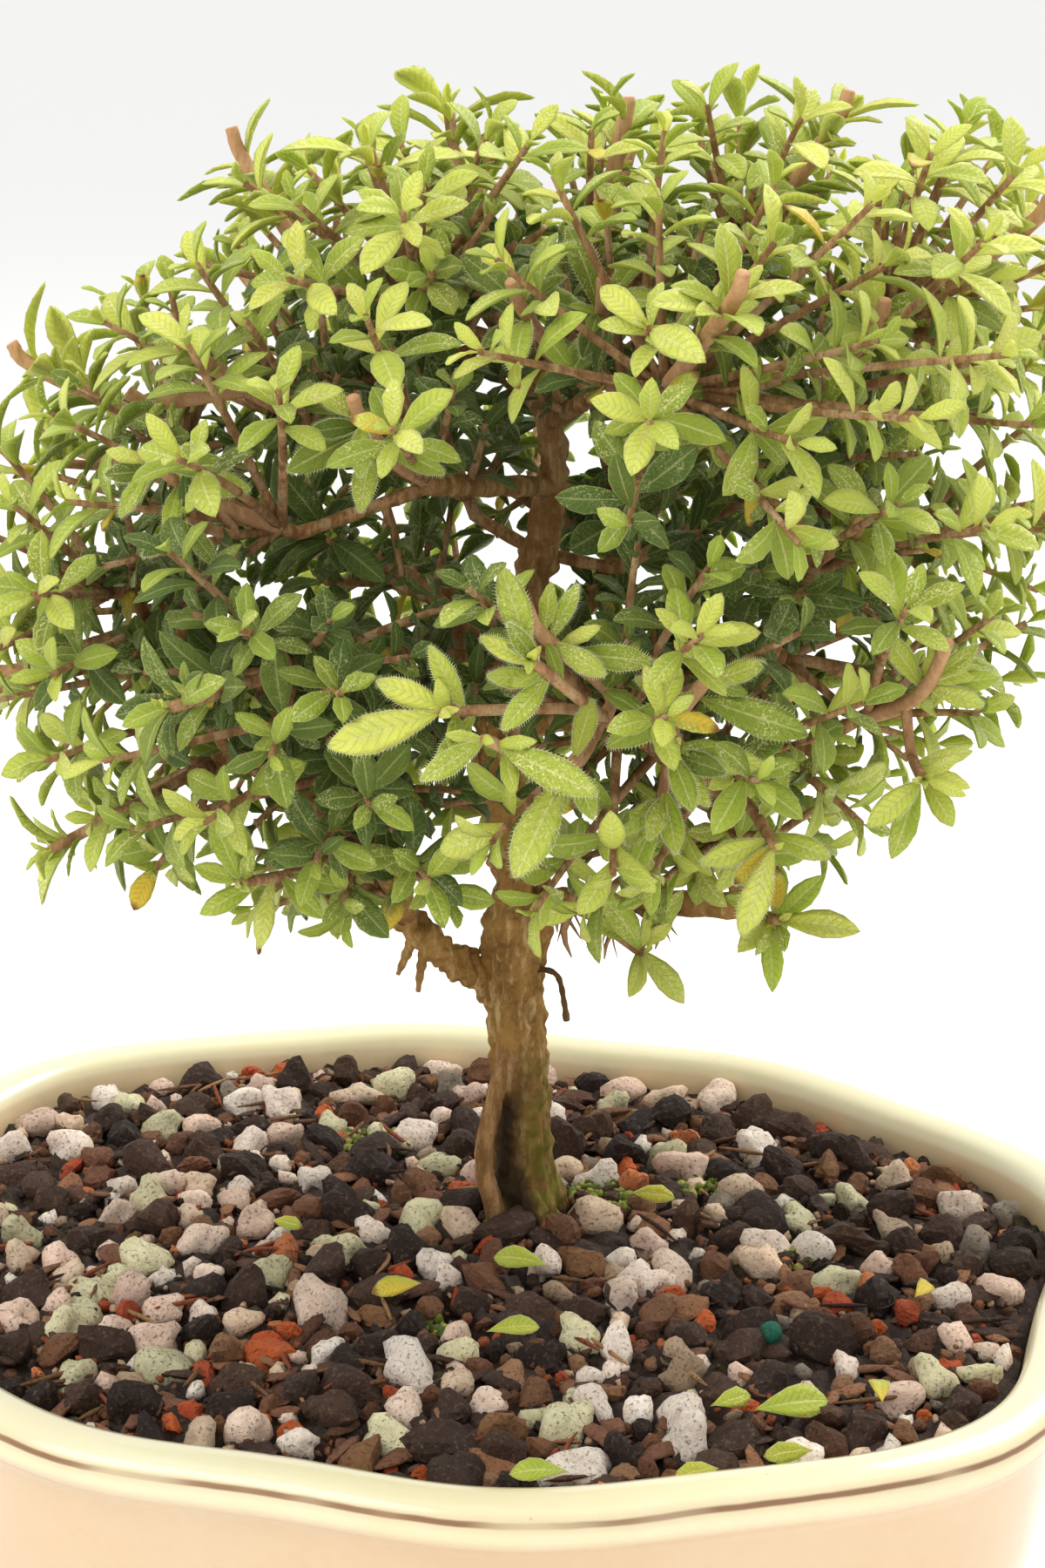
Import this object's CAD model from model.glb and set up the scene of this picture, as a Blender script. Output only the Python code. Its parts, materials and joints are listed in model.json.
"""Bahama berry bonsai in a glazed pot: its finished surfaces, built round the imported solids.

The draws, the crown, the growth of the twigs and the places of the leaves follow the same rules
as the solids, so each finer piece lies where its solid lies. Lengths are in millimetres until a
mesh is made from them.
"""

import json
import math

import bpy
import numpy as np
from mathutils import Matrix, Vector

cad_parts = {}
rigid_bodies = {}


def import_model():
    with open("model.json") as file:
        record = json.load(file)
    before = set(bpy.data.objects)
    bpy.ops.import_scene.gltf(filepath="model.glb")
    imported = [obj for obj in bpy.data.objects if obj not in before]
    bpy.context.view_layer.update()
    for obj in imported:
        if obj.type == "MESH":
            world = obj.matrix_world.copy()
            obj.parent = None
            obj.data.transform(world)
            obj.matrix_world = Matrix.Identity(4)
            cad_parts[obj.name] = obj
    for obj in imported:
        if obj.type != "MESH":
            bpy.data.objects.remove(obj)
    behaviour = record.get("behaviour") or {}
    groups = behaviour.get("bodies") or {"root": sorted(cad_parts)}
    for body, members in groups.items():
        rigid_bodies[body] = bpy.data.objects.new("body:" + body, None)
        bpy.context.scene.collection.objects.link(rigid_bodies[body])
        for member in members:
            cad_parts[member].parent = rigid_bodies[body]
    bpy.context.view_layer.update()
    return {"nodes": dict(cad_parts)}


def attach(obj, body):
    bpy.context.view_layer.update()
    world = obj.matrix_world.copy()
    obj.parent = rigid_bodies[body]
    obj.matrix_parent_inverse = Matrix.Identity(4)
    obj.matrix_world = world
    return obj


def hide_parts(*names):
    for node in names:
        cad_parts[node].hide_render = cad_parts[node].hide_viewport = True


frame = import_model()

# Pot
RIM_RADIUS = 90.5
RIM_WAVES = ((2, 0.1), (4, -0.0097), (6, -0.0131), (8, -0.0204))
FOOT_ANGLES = (0.625, 2.516, 3.767, 5.658)
FOOT_HALF_SPAN = 0.16
DRAIN_RADIUS = 6.0
DRAIN_OFFSET = 42.0
GAP = 0.3

# Soil
SOIL_EDGE = 54.0
SOIL_MIDDLE = 55.6

# Tree: wood as points with its radius at each
TRUNK = np.array([
    [5.8, 15.2, 53.6, 6.6], [6, 15.3, 58, 5.4], [6.2, 15.4, 65, 4.4], [5.8, 15.3, 74, 4.25],
    [5.2, 15.1, 84, 4.1], [4.4, 14.9, 93, 4.5], [5, 15, 102, 4.9], [5.8, 15.2, 109, 3.9],
    [3.4, 14.6, 120, 3.8], [3, 13, 134, 3.3], [8, 9, 152, 2.8], [13, 6, 172, 2.2],
    [12, 6, 190, 1.5]])
ROOTS = [
    [[4.8, 12.6, 84, 1.1], [3.4, 10.2, 78, 1.4], [1.6, 8.9, 67, 1.5], [3, 8.4, 60, 1.6],
     [4.6, 9.6, 53, 1.9]],
    [[6.4, 13.5, 66, 1.4], [9, 10.6, 59, 1.6], [9.8, 9.8, 53, 1.8]],
    [[7, 16, 66, 1.4], [10, 17.6, 59, 1.7], [10.8, 18, 53, 1.8]],
    [[5.4, 16.4, 64, 1.2], [2.6, 17.8, 58.5, 1.5], [1.8, 18.2, 53, 1.7]]]
LIMBS = [
    [[3, 14.5, 92, 2.6], [-5.6, 9.8, 99.4, 2.3], [-9.8, 7.6, 105, 1.9]],
    [[5.6, 15, 105, 2.4], [13, 12.5, 108, 1.9], [24, 10, 110, 1.5]]]
DRY_BITS = [
    [[-8.6, 8.4, 103, 1.1], [-10.6, 8, 98, 0.7], [-11.7, 8, 95.4, 0.35]],
    [[-7.4, 9, 101, 1], [-8.4, 9, 96, 0.7], [-8.8, 8.9, 92.6, 0.35]],
    [[6, 14.4, 95.6, 0.8], [9.2, 14.2, 96.2, 0.5], [11.8, 13.9, 95.4, 0.45], [12.8, 14.1, 91, 0.45],
     [13.1, 14.3, 88.3, 0.6]]]
TIP_RADIUS = 0.95
RADIUS_GROWTH = 0.42
TWIG_RUN = 40.0
TWIG_RISE = 0.1
RUN_COST = 0.25
CLIMB_COST = 0.6
JOINT_REACH = 2.6
STEM_RADIUS = 0.72
BUD = 0.7

# Crown
CROWN_MIDDLE = np.array([9.0, 1.0, 166.0])
CROWN_HALF = (80.0, 68.0)
CROWN_UP = 62.0
CROWN_DOWN = 54.0
CROWN_POWER = 2.4
CROWN_LEAN = 0.12
CORE = np.array([7.0, 8.0, 146.0])
CROWN_HEIGHTS = (0.97, -0.85)
CROWN_TRIES = 200
SPRAY_SPACING = 27.0
SPRAYS = 48
MOST_X = 95.2
MOST_Y = 79.4
SPRAY_REACH = 24.0
SECOND_TUFT = 0.62
SHOOT_FROM = 0.4
SHOOT_AT = 0.74
SHOOT_ASIDE = 8.5
SHOOT_SHARE = 0.3
STUB_LENGTH = (2.0, 6.0)
INNER_SPRAYS = 8
INNER_TRIES = 300
INNER_SHARES = (0.4, 0.92)
INNER_CLEAR = 3.2
INNER_SHOOTS = ((0.3, 0.55, 1), (0.45, 0.8, -1))
INNER_LEAVES = 2

# Leaf: its balls are shares of its length and width. The wander is the most that a leaf turns,
# tilts and shortens to find room.
LEAF_LENGTH = (8.5, 13.0)
LEAF_TILT = (0.75, 1.4)
LEAF_WIDTH = 0.37
LEAF_STEP = 1.4
LEAF_FOLD = 0.34
LEAF_ARCH = 0.09
BLADE_WIDTH = 0.325
LEAF_TRIES = 40
LEAF_WANDER = (2.4, 0.9, 0.35)
LEAF_BALLS = ((0.34, 0.36), (0.55, 0.52), (0.77, 0.52), (0.97, 0.25))
CROWD_ROOM = 60000
NEAR = 16

# Sprays set one by one, as in the solids: stem root, then tufts with their place, the points
# the stem passes, the pruned stub's length, and leaves as (angle, tilt, length) or a count.
SET_SPRAYS = [
    ([33, -33, 149], [
        ([28, -56, 163], [34, -44, 153], 0, [[108, 72, 12.6], [154, 66, 8.5], [170, 50, 6.5],
                                             [228, 66, 9.6], [197, 78, 10]]),
        ([28, -51, 165], [34, -42, 156], 5.2, [[92, 62, 8], [64, 75, 8], [25, 66, 6.5],
                                               [-6, 74, 11.6]]),
        ([17, -57, 156], [30, -48, 155], 0, [[197, 78, 15], [172, 80, 11.5], [118, 64, 10],
                                             [237, 72, 10]]),
        ([23, -59, 153.5], [31, -51, 148], 0, [[212, 66, 10], [-26, 72, 14.5], [-45, 60, 8]]),
        ([31, -51, 148], None, 0, [[244, 80, 15], [-70, 70, 8]])]),
    ([43, -27, 142], [
        ([47, -43, 159], [41, -37, 150], 1.5, [[134, 64, 7], [20, 70, 8.4], [211, 76, 14],
                                               [-19, 76, 15], [157, 72, 8.2]]),
        ([42, -42, 149], [39, -35, 146], 0, [[-70, 62, 9], [-8, 74, 12.5], [-52, 74, 9]]),
        ([40, -38, 140], None, 0, [[244, 74, 10.6], [220, 60, 9], [-80, 72, 9]])]),
    ([44, -19, 136], [
        ([54, -34, 135], [49, -27, 138], 0, [[249, 78, 12.5], [198, 74, 9.8], [-20, 74, 9],
                                             [267, 60, 8], [60, 66, 8]])]),
    ([62, -12, 147], [
        ([72, -26, 156], [68, -19, 151], 8.5, [[40, 66, 8], [12, 74, 10], [127, 72, 9.4],
                                               [95, 62, 8.8]]),
        ([72, -29, 144], [69, -20, 145], 0, [[218, 66, 10.2], [236, 80, 12.5], [-86, 76, 10],
                                             [-52, 74, 9.6], [9, 66, 8]])]),
    ([-6, -28, 128], [
        ([-14, -48, 128], [-9, -38, 127], 0, [[111, 72, 10], [132, 76, 9.4], [160, 70, 8.6],
                                              [195, 76, 11], [261, 74, 9.8], [-44, 74, 8.4],
                                              [-14, 70, 8]])]),
    ([-14, -31, 172], [
        ([-25, -47, 183], [-20, -38, 176], 2, [[130, 66, 7.4], [0, 74, 10], [174, 72, 8.4],
                                               [-9, 80, 10.4], [264, 72, 8.4]]),
        ([-22, -44, 175], [-18, -37, 172], 0, [[-53, 74, 7.6], [215, 76, 8]])]),
    ([4, -24, 178], [
        ([2, -43, 189], [3, -33, 182], 4, [[137, 66, 8], [45, 68, 7.4], [208, 74, 12],
                                           [261, 76, 10.4], [-28, 76, 10], [-8, 78, 10]])]),
    ([23, -12, 189], [
        ([29, -28, 202], [26, -19, 195], 5, 5),
        ([19, -30, 202], [21, -20, 195], 4.5, 3)]),
    ([50, -8, 164], [
        ([61, -22, 174], None, 2, 6),
        ([55, -27, 166], None, 0, 2)]),
    ([52, -3, 188], [
        ([62, -17, 200], None, 4, 5),
        ([57, -21, 190], None, 0, 2)]),
    ([-14, -20, 184], [
        ([-23, -36, 195], None, 7, 5),
        ([-30, -33, 188], None, 4, 2)]),
    ([20, 8, 107], [
        ([29, -3, 107], None, 0, 4)]),
    ([44, 0, 114], [
        ([51, -15, 118], None, 0, 6)]),
    ([-11, 0, 111], [
        ([-16, -10, 113], None, 0, 5)]),
]

UP = np.array([0.0, 0.0, 1.0])
TURN = 2 * math.pi
GOLDEN = math.pi * (3 - math.sqrt(5))


def mix(a, b, t):
    """The value a share t of the way from a to b."""
    return a + (b - a) * t


def unit(v):
    """A direction of length 1; rows of an array each give one."""
    v = np.asarray(v, float)
    return v / np.linalg.norm(v, axis=-1, keepdims=True)


def bezier(begin, middle, end, t):
    """A quadratic Bezier line: (1 - t)^2 a + 2 t (1 - t) b + t^2 c."""
    return (1 - t) ** 2 * begin + 2 * t * (1 - t) * middle + t * t * end


def draw(i, k):
    """A repeatable draw between 0 and 1 for item i and purpose k; arrays give arrays."""
    wave = np.sin(np.asarray(i, float) * 127.1 + np.asarray(k, float) * 311.7) * 43758.5453
    return wave - np.floor(wave)


FRONT = unit([0.27, -0.93, 0.25])


# ---------------------------------------------------------------- crown, sprays and twigs

def heading(azimuth, lift):
    """The direction with an azimuth, and a lift above the level."""
    level = math.cos(lift)
    return np.array([level * math.cos(azimuth), level * math.sin(azimuth), math.sin(lift)])


def crown_sum(d):
    """The crown as a superellipsoid: |x / a|^p + |y / b|^p + |z / c|^p for a way from its middle,
    which is 1 on its surface. Its half height is larger up than down."""
    half = np.array([*CROWN_HALF, CROWN_UP if d[2] > 0 else CROWN_DOWN])
    return np.sum(np.abs(d / half) ** CROWN_POWER)


def crown_point(azimuth, lift, scale=1.0):
    """The point on the crown's surface in a direction, leaned along X."""
    d = heading(azimuth, lift)
    d = d * crown_sum(d) ** (-1 / CROWN_POWER) * scale
    return CROWN_MIDDLE + d + UP * CROWN_LEAN * d[0]


def spiral(index, tries, turn=0.0):
    """Azimuth and lift of one place on a golden-angle spiral from the top to the underside."""
    return index * GOLDEN + turn, math.asin(mix(*CROWN_HEIGHTS, (index + 0.5) / tries))


def spray_root(at):
    """A spray's stem begins a reach nearer the crown's core than its tip, and a little higher."""
    inward = CORE - at
    distance = np.linalg.norm(inward)
    reach = min(SPRAY_REACH, distance * 0.5)
    return at + inward / distance * reach + UP * reach * 0.12


def side_shoot(root, at, start, share, side, leaves):
    """A tuft beside the stem, at a share of its length and level with it."""
    aside = unit(np.cross(at - root, UP)) * side * SHOOT_ASIDE
    return dict(at=mix(root, at, share) + aside, start=start, leaves=leaves)


def fill_spray(i, at):
    """A spray on the crown's surface: two tufts along its stem, and on some a side shoot."""
    root = spray_root(at)
    stub = mix(*STUB_LENGTH, draw(i, 23)) if draw(i, 22) > 0.4 else 0
    tufts = [dict(at=at, stub=stub, leaves=4),
             dict(at=mix(root, at, SECOND_TUFT), bare=True, leaves=3)]
    if draw(i, 24) < SHOOT_SHARE:
        side = 1 if draw(i, 21) > 0.5 else -1
        tufts.append(side_shoot(root, at, SHOOT_FROM, SHOOT_AT, side, 2))
    return dict(root=root, tufts=tufts)


def inner_spray(at):
    """A spray inside the crown: two tufts along its stem and two side shoots."""
    root = spray_root(at)
    shoots = [side_shoot(root, at, *shoot, INNER_LEAVES) for shoot in INNER_SHOOTS]
    second = dict(at=mix(root, at, SECOND_TUFT), bare=True, leaves=INNER_LEAVES)
    return finish_spray(dict(root=root, tufts=[dict(at=at, leaves=INNER_LEAVES), second, *shoots]))


def of_tufts(sprays, key):
    """One value of every tuft of some sprays."""
    return [tuft[key] for spray in sprays for tuft in spray["tufts"]]


def points_along(paths):
    """Points along paths, close together."""
    points = []
    for path in paths:
        for a, b in zip(path[:-1], path[1:]):
            steps = math.ceil(np.linalg.norm(b - a) / INNER_CLEAR)
            points.append(mix(a, b, np.arange(steps + 1)[:, None] / steps))
    return np.vstack(points)


def inner_sprays(sprays, twig_paths):
    """Each takes the place, of those whose stems keep clear of other wood, that lies furthest from
    every tuft so far."""
    places = np.array(of_tufts(sprays, "at"))
    wood = points_along(of_tufts(sprays, "path") + twig_paths)
    tried = []
    for i in range(INNER_TRIES):
        at = crown_point(*spiral(i, INNER_TRIES))
        tried.append(inner_spray(mix(CROWN_MIDDLE, at, mix(*INNER_SHARES, draw(i, 25)))))
    made = []
    for _ in range(INNER_SPRAYS):
        kept = []
        for spray in tried:
            own = points_along(of_tufts([spray], "path"))
            if np.linalg.norm(own[:, None] - wood[None], axis=2).min() > INNER_CLEAR:
                kept.append(spray)
        tried = kept
        room = [np.linalg.norm(places - spray["tufts"][0]["at"], axis=1).min() for spray in tried]
        made.append(tried[int(np.argmax(room))])
        places = np.vstack([places, of_tufts(made[-1:], "at")])
        wood = points_along(of_tufts(made[-1:], "path"))
    return made


def all_sprays():
    """The sprays set by hand, then those that fill the crown between them."""
    sprays = []
    for root, tufts in SET_SPRAYS:
        made = [dict(at=np.array(at, float), via=via, stub=stub, leaves=leaves)
                for at, via, stub, leaves in tufts]
        sprays.append(dict(root=np.array(root, float), tufts=made))
    places = of_tufts(sprays, "at")
    for i in range(CROWN_TRIES):
        if len(sprays) >= SPRAYS:
            break
        at = crown_point(*spiral(i, CROWN_TRIES))
        at = mix(at, CORE, 0.1 * draw(i, 20))
        if np.min(np.linalg.norm(np.array(places) - at, axis=1)) >= SPRAY_SPACING:
            places.append(at)
            sprays.append(fill_spray(i, at))
    return [finish_spray(spray) for spray in sprays]


def finish_spray(spray):
    """Gives every tuft its stem path, its way back along the stem, and the way it faces."""
    root, first = spray["root"], spray["tufts"][0]
    middle = np.array(first["via"], float) if first.get("via") else mix(root, first["at"], 0.5)
    for i, tuft in enumerate(spray["tufts"]):
        at = tuft["at"]
        begin = mix(root, first["at"], tuft["start"]) if tuft.get("start") else middle
        path = [begin, at]
        if tuft.get("bare"):
            path = [root, at]
        elif i == 0:
            path = [root, middle, at] if tuft.get("via") else [root, at]
        elif tuft.get("via"):
            path = [middle, np.array(tuft["via"], float), at]
        tuft["path"] = path
        tuft["back"] = unit(path[-2] - at)
        tuft["face"] = FRONT if isinstance(tuft["leaves"], list) else unit(0.3 * UP - tuft["back"])
    spray["start"] = unit(middle - root)
    return spray


class Wood:
    """Wood that twigs can leave from: points with their distance from the trunk's foot, the point
    each grew from, and the tips that each carries."""

    def __init__(self):
        self.place, self.run, self.parent, self.tips, self.open = [], [], [], [], []
        self.add(TRUNK[4, :3], 0.0, -1)
        for i in range(5, len(TRUNK) - 1):
            self.add_run([mix(TRUNK[i, :3], TRUNK[i + 1, :3], t) for t in (0, 0.5, 1)])
        for limb in LIMBS:
            self.add_run([np.array(p[:3], float) for p in limb])

    def add(self, at, length, before, ends=False):
        """Adds a point and returns its number. A twig can't leave from a point that ends one."""
        number = len(self.place)
        self.place.append(at)
        self.run.append(length)
        self.parent.append(before)
        self.tips.append(0)
        if not ends:
            self.open.append(number)
        return number

    def add_run(self, path):
        """Points along a limb: the first takes its distance from the nearest wood so far."""
        before = None
        for at in path:
            if before is None:
                near, gone = int(np.argmin(np.linalg.norm(np.array(self.place) - at, axis=1))), 0
            else:
                near, gone = before, np.linalg.norm(self.place[before] - at)
            before = self.add(at, self.run[near] + gone, -1)

    def grow(self, sprays):
        """A twig for each spray leaves the wood that costs least by distance, distance from the
        trunk and height, and bends upwards as a quadratic Bezier line."""
        ends = []
        for spray in sprays:
            last = spray["root"] - spray["start"] * GAP
            ends.append((last - spray["start"] * JOINT_REACH, last))
        ends.sort(key=lambda end: np.min(np.linalg.norm(TRUNK[5:, :3] - end[1], axis=1)))
        chains = []
        for before, last in ends:
            points = np.array([self.place[n] for n in self.open])
            runs = np.array([self.run[n] for n in self.open])
            climb = np.maximum(points[:, 2] - before[2], 0)
            cost = np.linalg.norm(points - before, axis=1) + RUN_COST * runs + CLIMB_COST * climb
            start = self.open[int(np.argmin(cost))]
            span = np.linalg.norm(self.place[start] - before)
            bend = mix(self.place[start], before, 0.5) + UP * span * TWIG_RISE
            steps = max(1, math.floor(span / TWIG_RUN + 0.5))
            chain = [start]
            for t in np.arange(1, steps + 1) / steps:
                at = bezier(self.place[start], bend, before, t)
                gone = np.linalg.norm(self.place[chain[-1]] - at)
                chain.append(self.add(at, self.run[chain[-1]] + gone, chain[-1]))
            chain.append(self.add(last, 0.0, chain[-1], ends=True))
            node = chain[-1]
            while node >= 0:
                self.tips[node] += 1
                node = self.parent[node]
            chains.append(chain)
        return chains

    def paths(self, chains):
        """The places of the points in each chain."""
        return [np.array([self.place[n] for n in chain]) for chain in chains]

    def twigs(self, chains):
        """Paths with radii: a radius is a power of the tips carried."""
        carried = [[self.tips[n] for n in (chain[1], *chain[1:])] for chain in chains]
        radii = [TIP_RADIUS * np.array(tips, float) ** RADIUS_GROWTH for tips in carried]
        return list(zip(self.paths(chains), radii))


# ---------------------------------------------------------------- leaf places

class Crowd:
    """The room taken so far, as balls that know which piece they belong to."""

    def __init__(self):
        self.at, self.radius = np.zeros((CROWD_ROOM, 3)), np.zeros(CROWD_ROOM)
        self.owner, self.count = np.zeros(CROWD_ROOM), 0

    def add(self, at, radius, owner):
        """Takes up the room of some balls."""
        new = slice(self.count, self.count + len(at))
        self.at[new], self.radius[new], self.owner[new] = at, radius, owner
        self.count = new.stop

    def add_stem(self, path, radii, owner):
        """Takes up the room of a stem, with a ball about every 2 mm."""
        for a, b, radius in zip(path[:-1], path[1:], radii):
            steps = max(1, math.ceil(np.linalg.norm(b - a) / 2))
            shares = np.arange(steps + 1)[:, None] / steps
            self.add(mix(a, b, shares), radius + 0.2, owner)

    def clear(self, at, radius, owner, own_room, other_room):
        """True if a leaf's balls keep clear of all others; its first ball may touch its owner."""
        near = np.abs(self.at[:self.count] - at.mean(0)).max(1) < NEAR
        places, radii, owners = (
            row[:self.count][near] for row in (self.at, self.radius, self.owner))
        mine = owners == owner
        distance = np.linalg.norm(places[:, None] - at[None], axis=2)
        room = np.where(mine, own_room, other_room)[:, None]
        fine = distance > (radii[:, None] + radius[None]) * room + GAP
        fine[mine, 0] = True
        return bool(fine.all())


def leaf_place(tuft, angle, tilt, length, rise):
    """A leaf leaves the stem's middle, leans away from it by its tilt, and keeps its face up."""
    face = tuft["face"]
    right = np.array([1.0, 0, 0]) if abs(face[2]) > 0.99 else unit(np.cross(UP, face))
    out = right * math.cos(angle) + np.cross(face, right) * math.sin(angle)
    along = face * math.cos(tilt) + out * math.sin(tilt)
    top = face * math.sin(tilt) - out * math.cos(tilt)
    return dict(base=tuft["at"] + tuft["back"] * rise, along=along, top=top, length=length)


def leaf_balls(leaf):
    """The balls that stand for a leaf, along its arch."""
    shares, sizes = np.array(LEAF_BALLS).T
    shares = shares[:, None]
    at = leaf["base"] + leaf["along"] * shares * leaf["length"] \
        + leaf["top"] * LEAF_ARCH * leaf["length"] * np.sin(np.pi * shares)
    return at, sizes * leaf["length"] * LEAF_WIDTH


def inside_pot(at, radius):
    """True if all balls lie inside the pot's outline, seen from above."""
    return bool(((np.abs(at[:, 0]) + radius < MOST_X) & (np.abs(at[:, 1]) + radius < MOST_Y)).all())


def place_leaf(crowd, tuft, wanted, ident, rise, owner, rooms=(0.8, 1.0), tries=LEAF_TRIES):
    """Turns, tilts and shortens a leaf a little at a time until it is clear of the others."""
    turn, lean, shorten = LEAF_WANDER
    for attempt in range(tries):
        wander = attempt / tries
        angle = wanted[0] + wander * turn * (draw(ident, 40 + attempt) - 0.5)
        tilt = wanted[1] + wander * lean * (draw(ident, 90 + attempt) - 0.5)
        leaf = leaf_place(tuft, angle, tilt, wanted[2] * (1 - shorten * wander), rise)
        at, radius = leaf_balls(leaf)
        if inside_pot(at, radius) and crowd.clear(at, radius, owner, *rooms):
            crowd.add(at, radius, owner)
            return leaf
    return None


def solid_leaves(crowd, tuft, number, owner):
    """The leaves that the solids have in a tuft."""
    listed = isinstance(tuft["leaves"], list)
    count = len(tuft["leaves"]) if listed else tuft["leaves"]
    made = []
    for i in range(count):
        ident = number * 16 + i
        if listed:
            angle, tilt, length = tuft["leaves"][i]
            wanted = math.radians(angle), math.radians(tilt), length
        else:
            wanted = (TURN * ((i + 0.3 * draw(ident, 30)) / count + draw(number, 31)),
                      mix(*LEAF_TILT, draw(ident, 32)), mix(*LEAF_LENGTH, draw(ident, 33)))
        leaf = place_leaf(crowd, tuft, wanted, ident, LEAF_STEP * i, owner)
        if leaf:
            made.append(leaf)
    return made


def stem_run(tuft, i):
    """A tuft's stem, carried on past the leaves as a bud or as the stub that pruning left."""
    path = list(tuft["path"])
    radii = [(1 if i else mix(1.3, 1, k / 2)) * STEM_RADIUS for k in range(len(path))]
    on = -tuft["back"]
    if tuft.get("stub"):
        on = unit(on + 0.5 * UP)
    path.append(tuft["at"] + on * (tuft.get("stub") or BUD))
    radii.append(STEM_RADIUS if tuft.get("stub") else STEM_RADIUS * 0.6)
    return np.array(path), np.array(radii)


# ---------------------------------------------------------------- meshes

def new_object(name, points, faces, materials, attributes=None, smooth=True):
    """A mesh object from points in millimetres, faces, and values held by each point."""
    mesh = bpy.data.meshes.new(name)
    mesh.from_pydata((np.asarray(points, float) * 0.001).tolist(), [], faces)
    for key, values in (attributes or {}).items():
        set_values(mesh, key, values)
    for material in materials:
        mesh.materials.append(material)
    mesh.polygons.foreach_set("use_smooth", [smooth] * len(mesh.polygons))
    mesh.update()
    made = bpy.data.objects.new(name, mesh)
    bpy.context.scene.collection.objects.link(made)
    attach(made, "root")
    return made


def set_values(mesh, key, values):
    """Three values for each point of a mesh."""
    field = mesh.attributes.get(key) or mesh.attributes.new(key, "FLOAT_VECTOR", "POINT")
    field.data.foreach_set("vector", np.asarray(values, np.float32).ravel())


def get_values(mesh, key):
    """The place ("co") or normal of each point of a mesh."""
    values = np.zeros(len(mesh.vertices) * 3)
    mesh.vertices.foreach_get(key, values)
    return values.reshape(-1, 3)


class Heap:
    """Collects closed shells with the same point attributes into one mesh. A value of three numbers
    goes to every point of its shell."""

    def __init__(self):
        self.points, self.faces, self.slots, self.values, self.count = [], [], [], {}, 0

    def add(self, points, faces, slot=0, **values):
        """Adds a shell: its points, faces, material slot, and values for its points."""
        points = np.asarray(points, float).reshape(-1, 3)
        self.points.append(points)
        for face in faces:
            self.faces.append((np.asarray(face) + self.count).tolist())
            self.slots.append(slot)
        for key, value in values.items():
            value = np.broadcast_to(np.asarray(value, float), points.shape)
            self.values.setdefault(key, []).append(value)
        self.count += len(points)

    def build(self, name, *materials, smooth=True):
        """The mesh object of all shells so far."""
        values = {key: np.concatenate(parts) for key, parts in self.values.items()}
        made = new_object(name, np.concatenate(self.points), self.faces, materials, values, smooth)
        made.data.polygons.foreach_set("material_index", self.slots)
        return made


def ring_angles(count, turn=0.0):
    """Angles round a circle; turn is a share of one step."""
    return TURN * (np.arange(count) + turn) / count


def grid_faces(rows, columns):
    """Quads of a grid closed round its columns."""
    a = np.arange(rows - 1)[:, None] * columns + np.arange(columns)[None]
    b = np.arange(rows - 1)[:, None] * columns + (np.arange(columns)[None] + 1) % columns
    return np.stack([a, b, b + columns, a + columns], -1).reshape(-1, 4)


def tube_faces(rows, sides):
    """The faces of a tube's rings, with a flat face over each end."""
    last = (rows - 1) * sides
    return grid_faces(rows, sides).tolist() + [[*range(sides)][::-1], [*range(last, last + sides)]]


# The order of a triangle's corners that turns it over.
BACK = [0, 2, 1]


def fan(middle, first, sides):
    """Triangles from a middle point to a ring whose points begin at first."""
    k = np.arange(sides)
    return np.stack([middle + 0 * k, first + k, first + (k + 1) % sides], -1)


def carried(path, radii, sides):
    """Rings across a path: each stands square to the way between its neighbours. The frame turns
    with the path, so the tube doesn't twist."""
    path = np.asarray(path, float)
    along = unit(np.gradient(path, axis=0))
    u = np.zeros_like(path)
    u[0] = unit(np.cross(UP if abs(along[0, 2]) < 0.9 else np.array([1.0, 0, 0]), along[0]))
    for i in range(1, len(path)):
        u[i] = unit(u[i - 1] - along[i] * (u[i - 1] @ along[i]))
    v = np.cross(along, u)
    angle = ring_angles(sides)
    radii = np.asarray(radii, float)
    radii = radii[:, None] if radii.ndim == 1 else radii
    return path[:, None] + (u[:, None] * (np.cos(angle) * radii)[..., None]
                            + v[:, None] * (np.sin(angle) * radii)[..., None])


def smooth_path(points, step):
    """A Catmull-Rom line through points, with any further columns carried along."""
    points = np.asarray(points, float)
    padded = np.vstack([2 * points[0] - points[1], points, 2 * points[-1] - points[-2]])
    out = []
    for i in range(len(points) - 1):
        a, b, c, d = padded[i:i + 4]
        count = max(1, int(np.linalg.norm(c[:3] - b[:3]) / step))
        t = (np.arange(count) / count)[:, None]
        out.append(0.5 * (2 * b + (c - a) * t + (2 * a - 5 * b + 4 * c - d) * t ** 2
                          + (3 * b - a - 3 * c + d) * t ** 3))
    out.append(points[-1:])
    return np.vstack(out)


def tube(heap, path, radii, sides, slot=0, **values):
    """A closed tube; its ends are flat."""
    rings = carried(path, radii, sides)
    heap.add(rings.reshape(-1, 3), tube_faces(len(rings), sides), slot, **values)


def leaf_form(rows, spread, across, below):
    """A leaf's net: rows from petiole to tip with the share of the width each has, the places round
    a row, and which of them lie on the underside."""
    sides = len(across)
    base = len(rows) * sides
    return dict(
        rows=np.array(rows), spread=np.array(spread), across=np.array(across), count=base + 2,
        below=np.array(below), quads=grid_faces(len(rows), sides),
        fans=np.concatenate([fan(base, 0, sides)[:, BACK], fan(base + 1, base - sides, sides)]))


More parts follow.
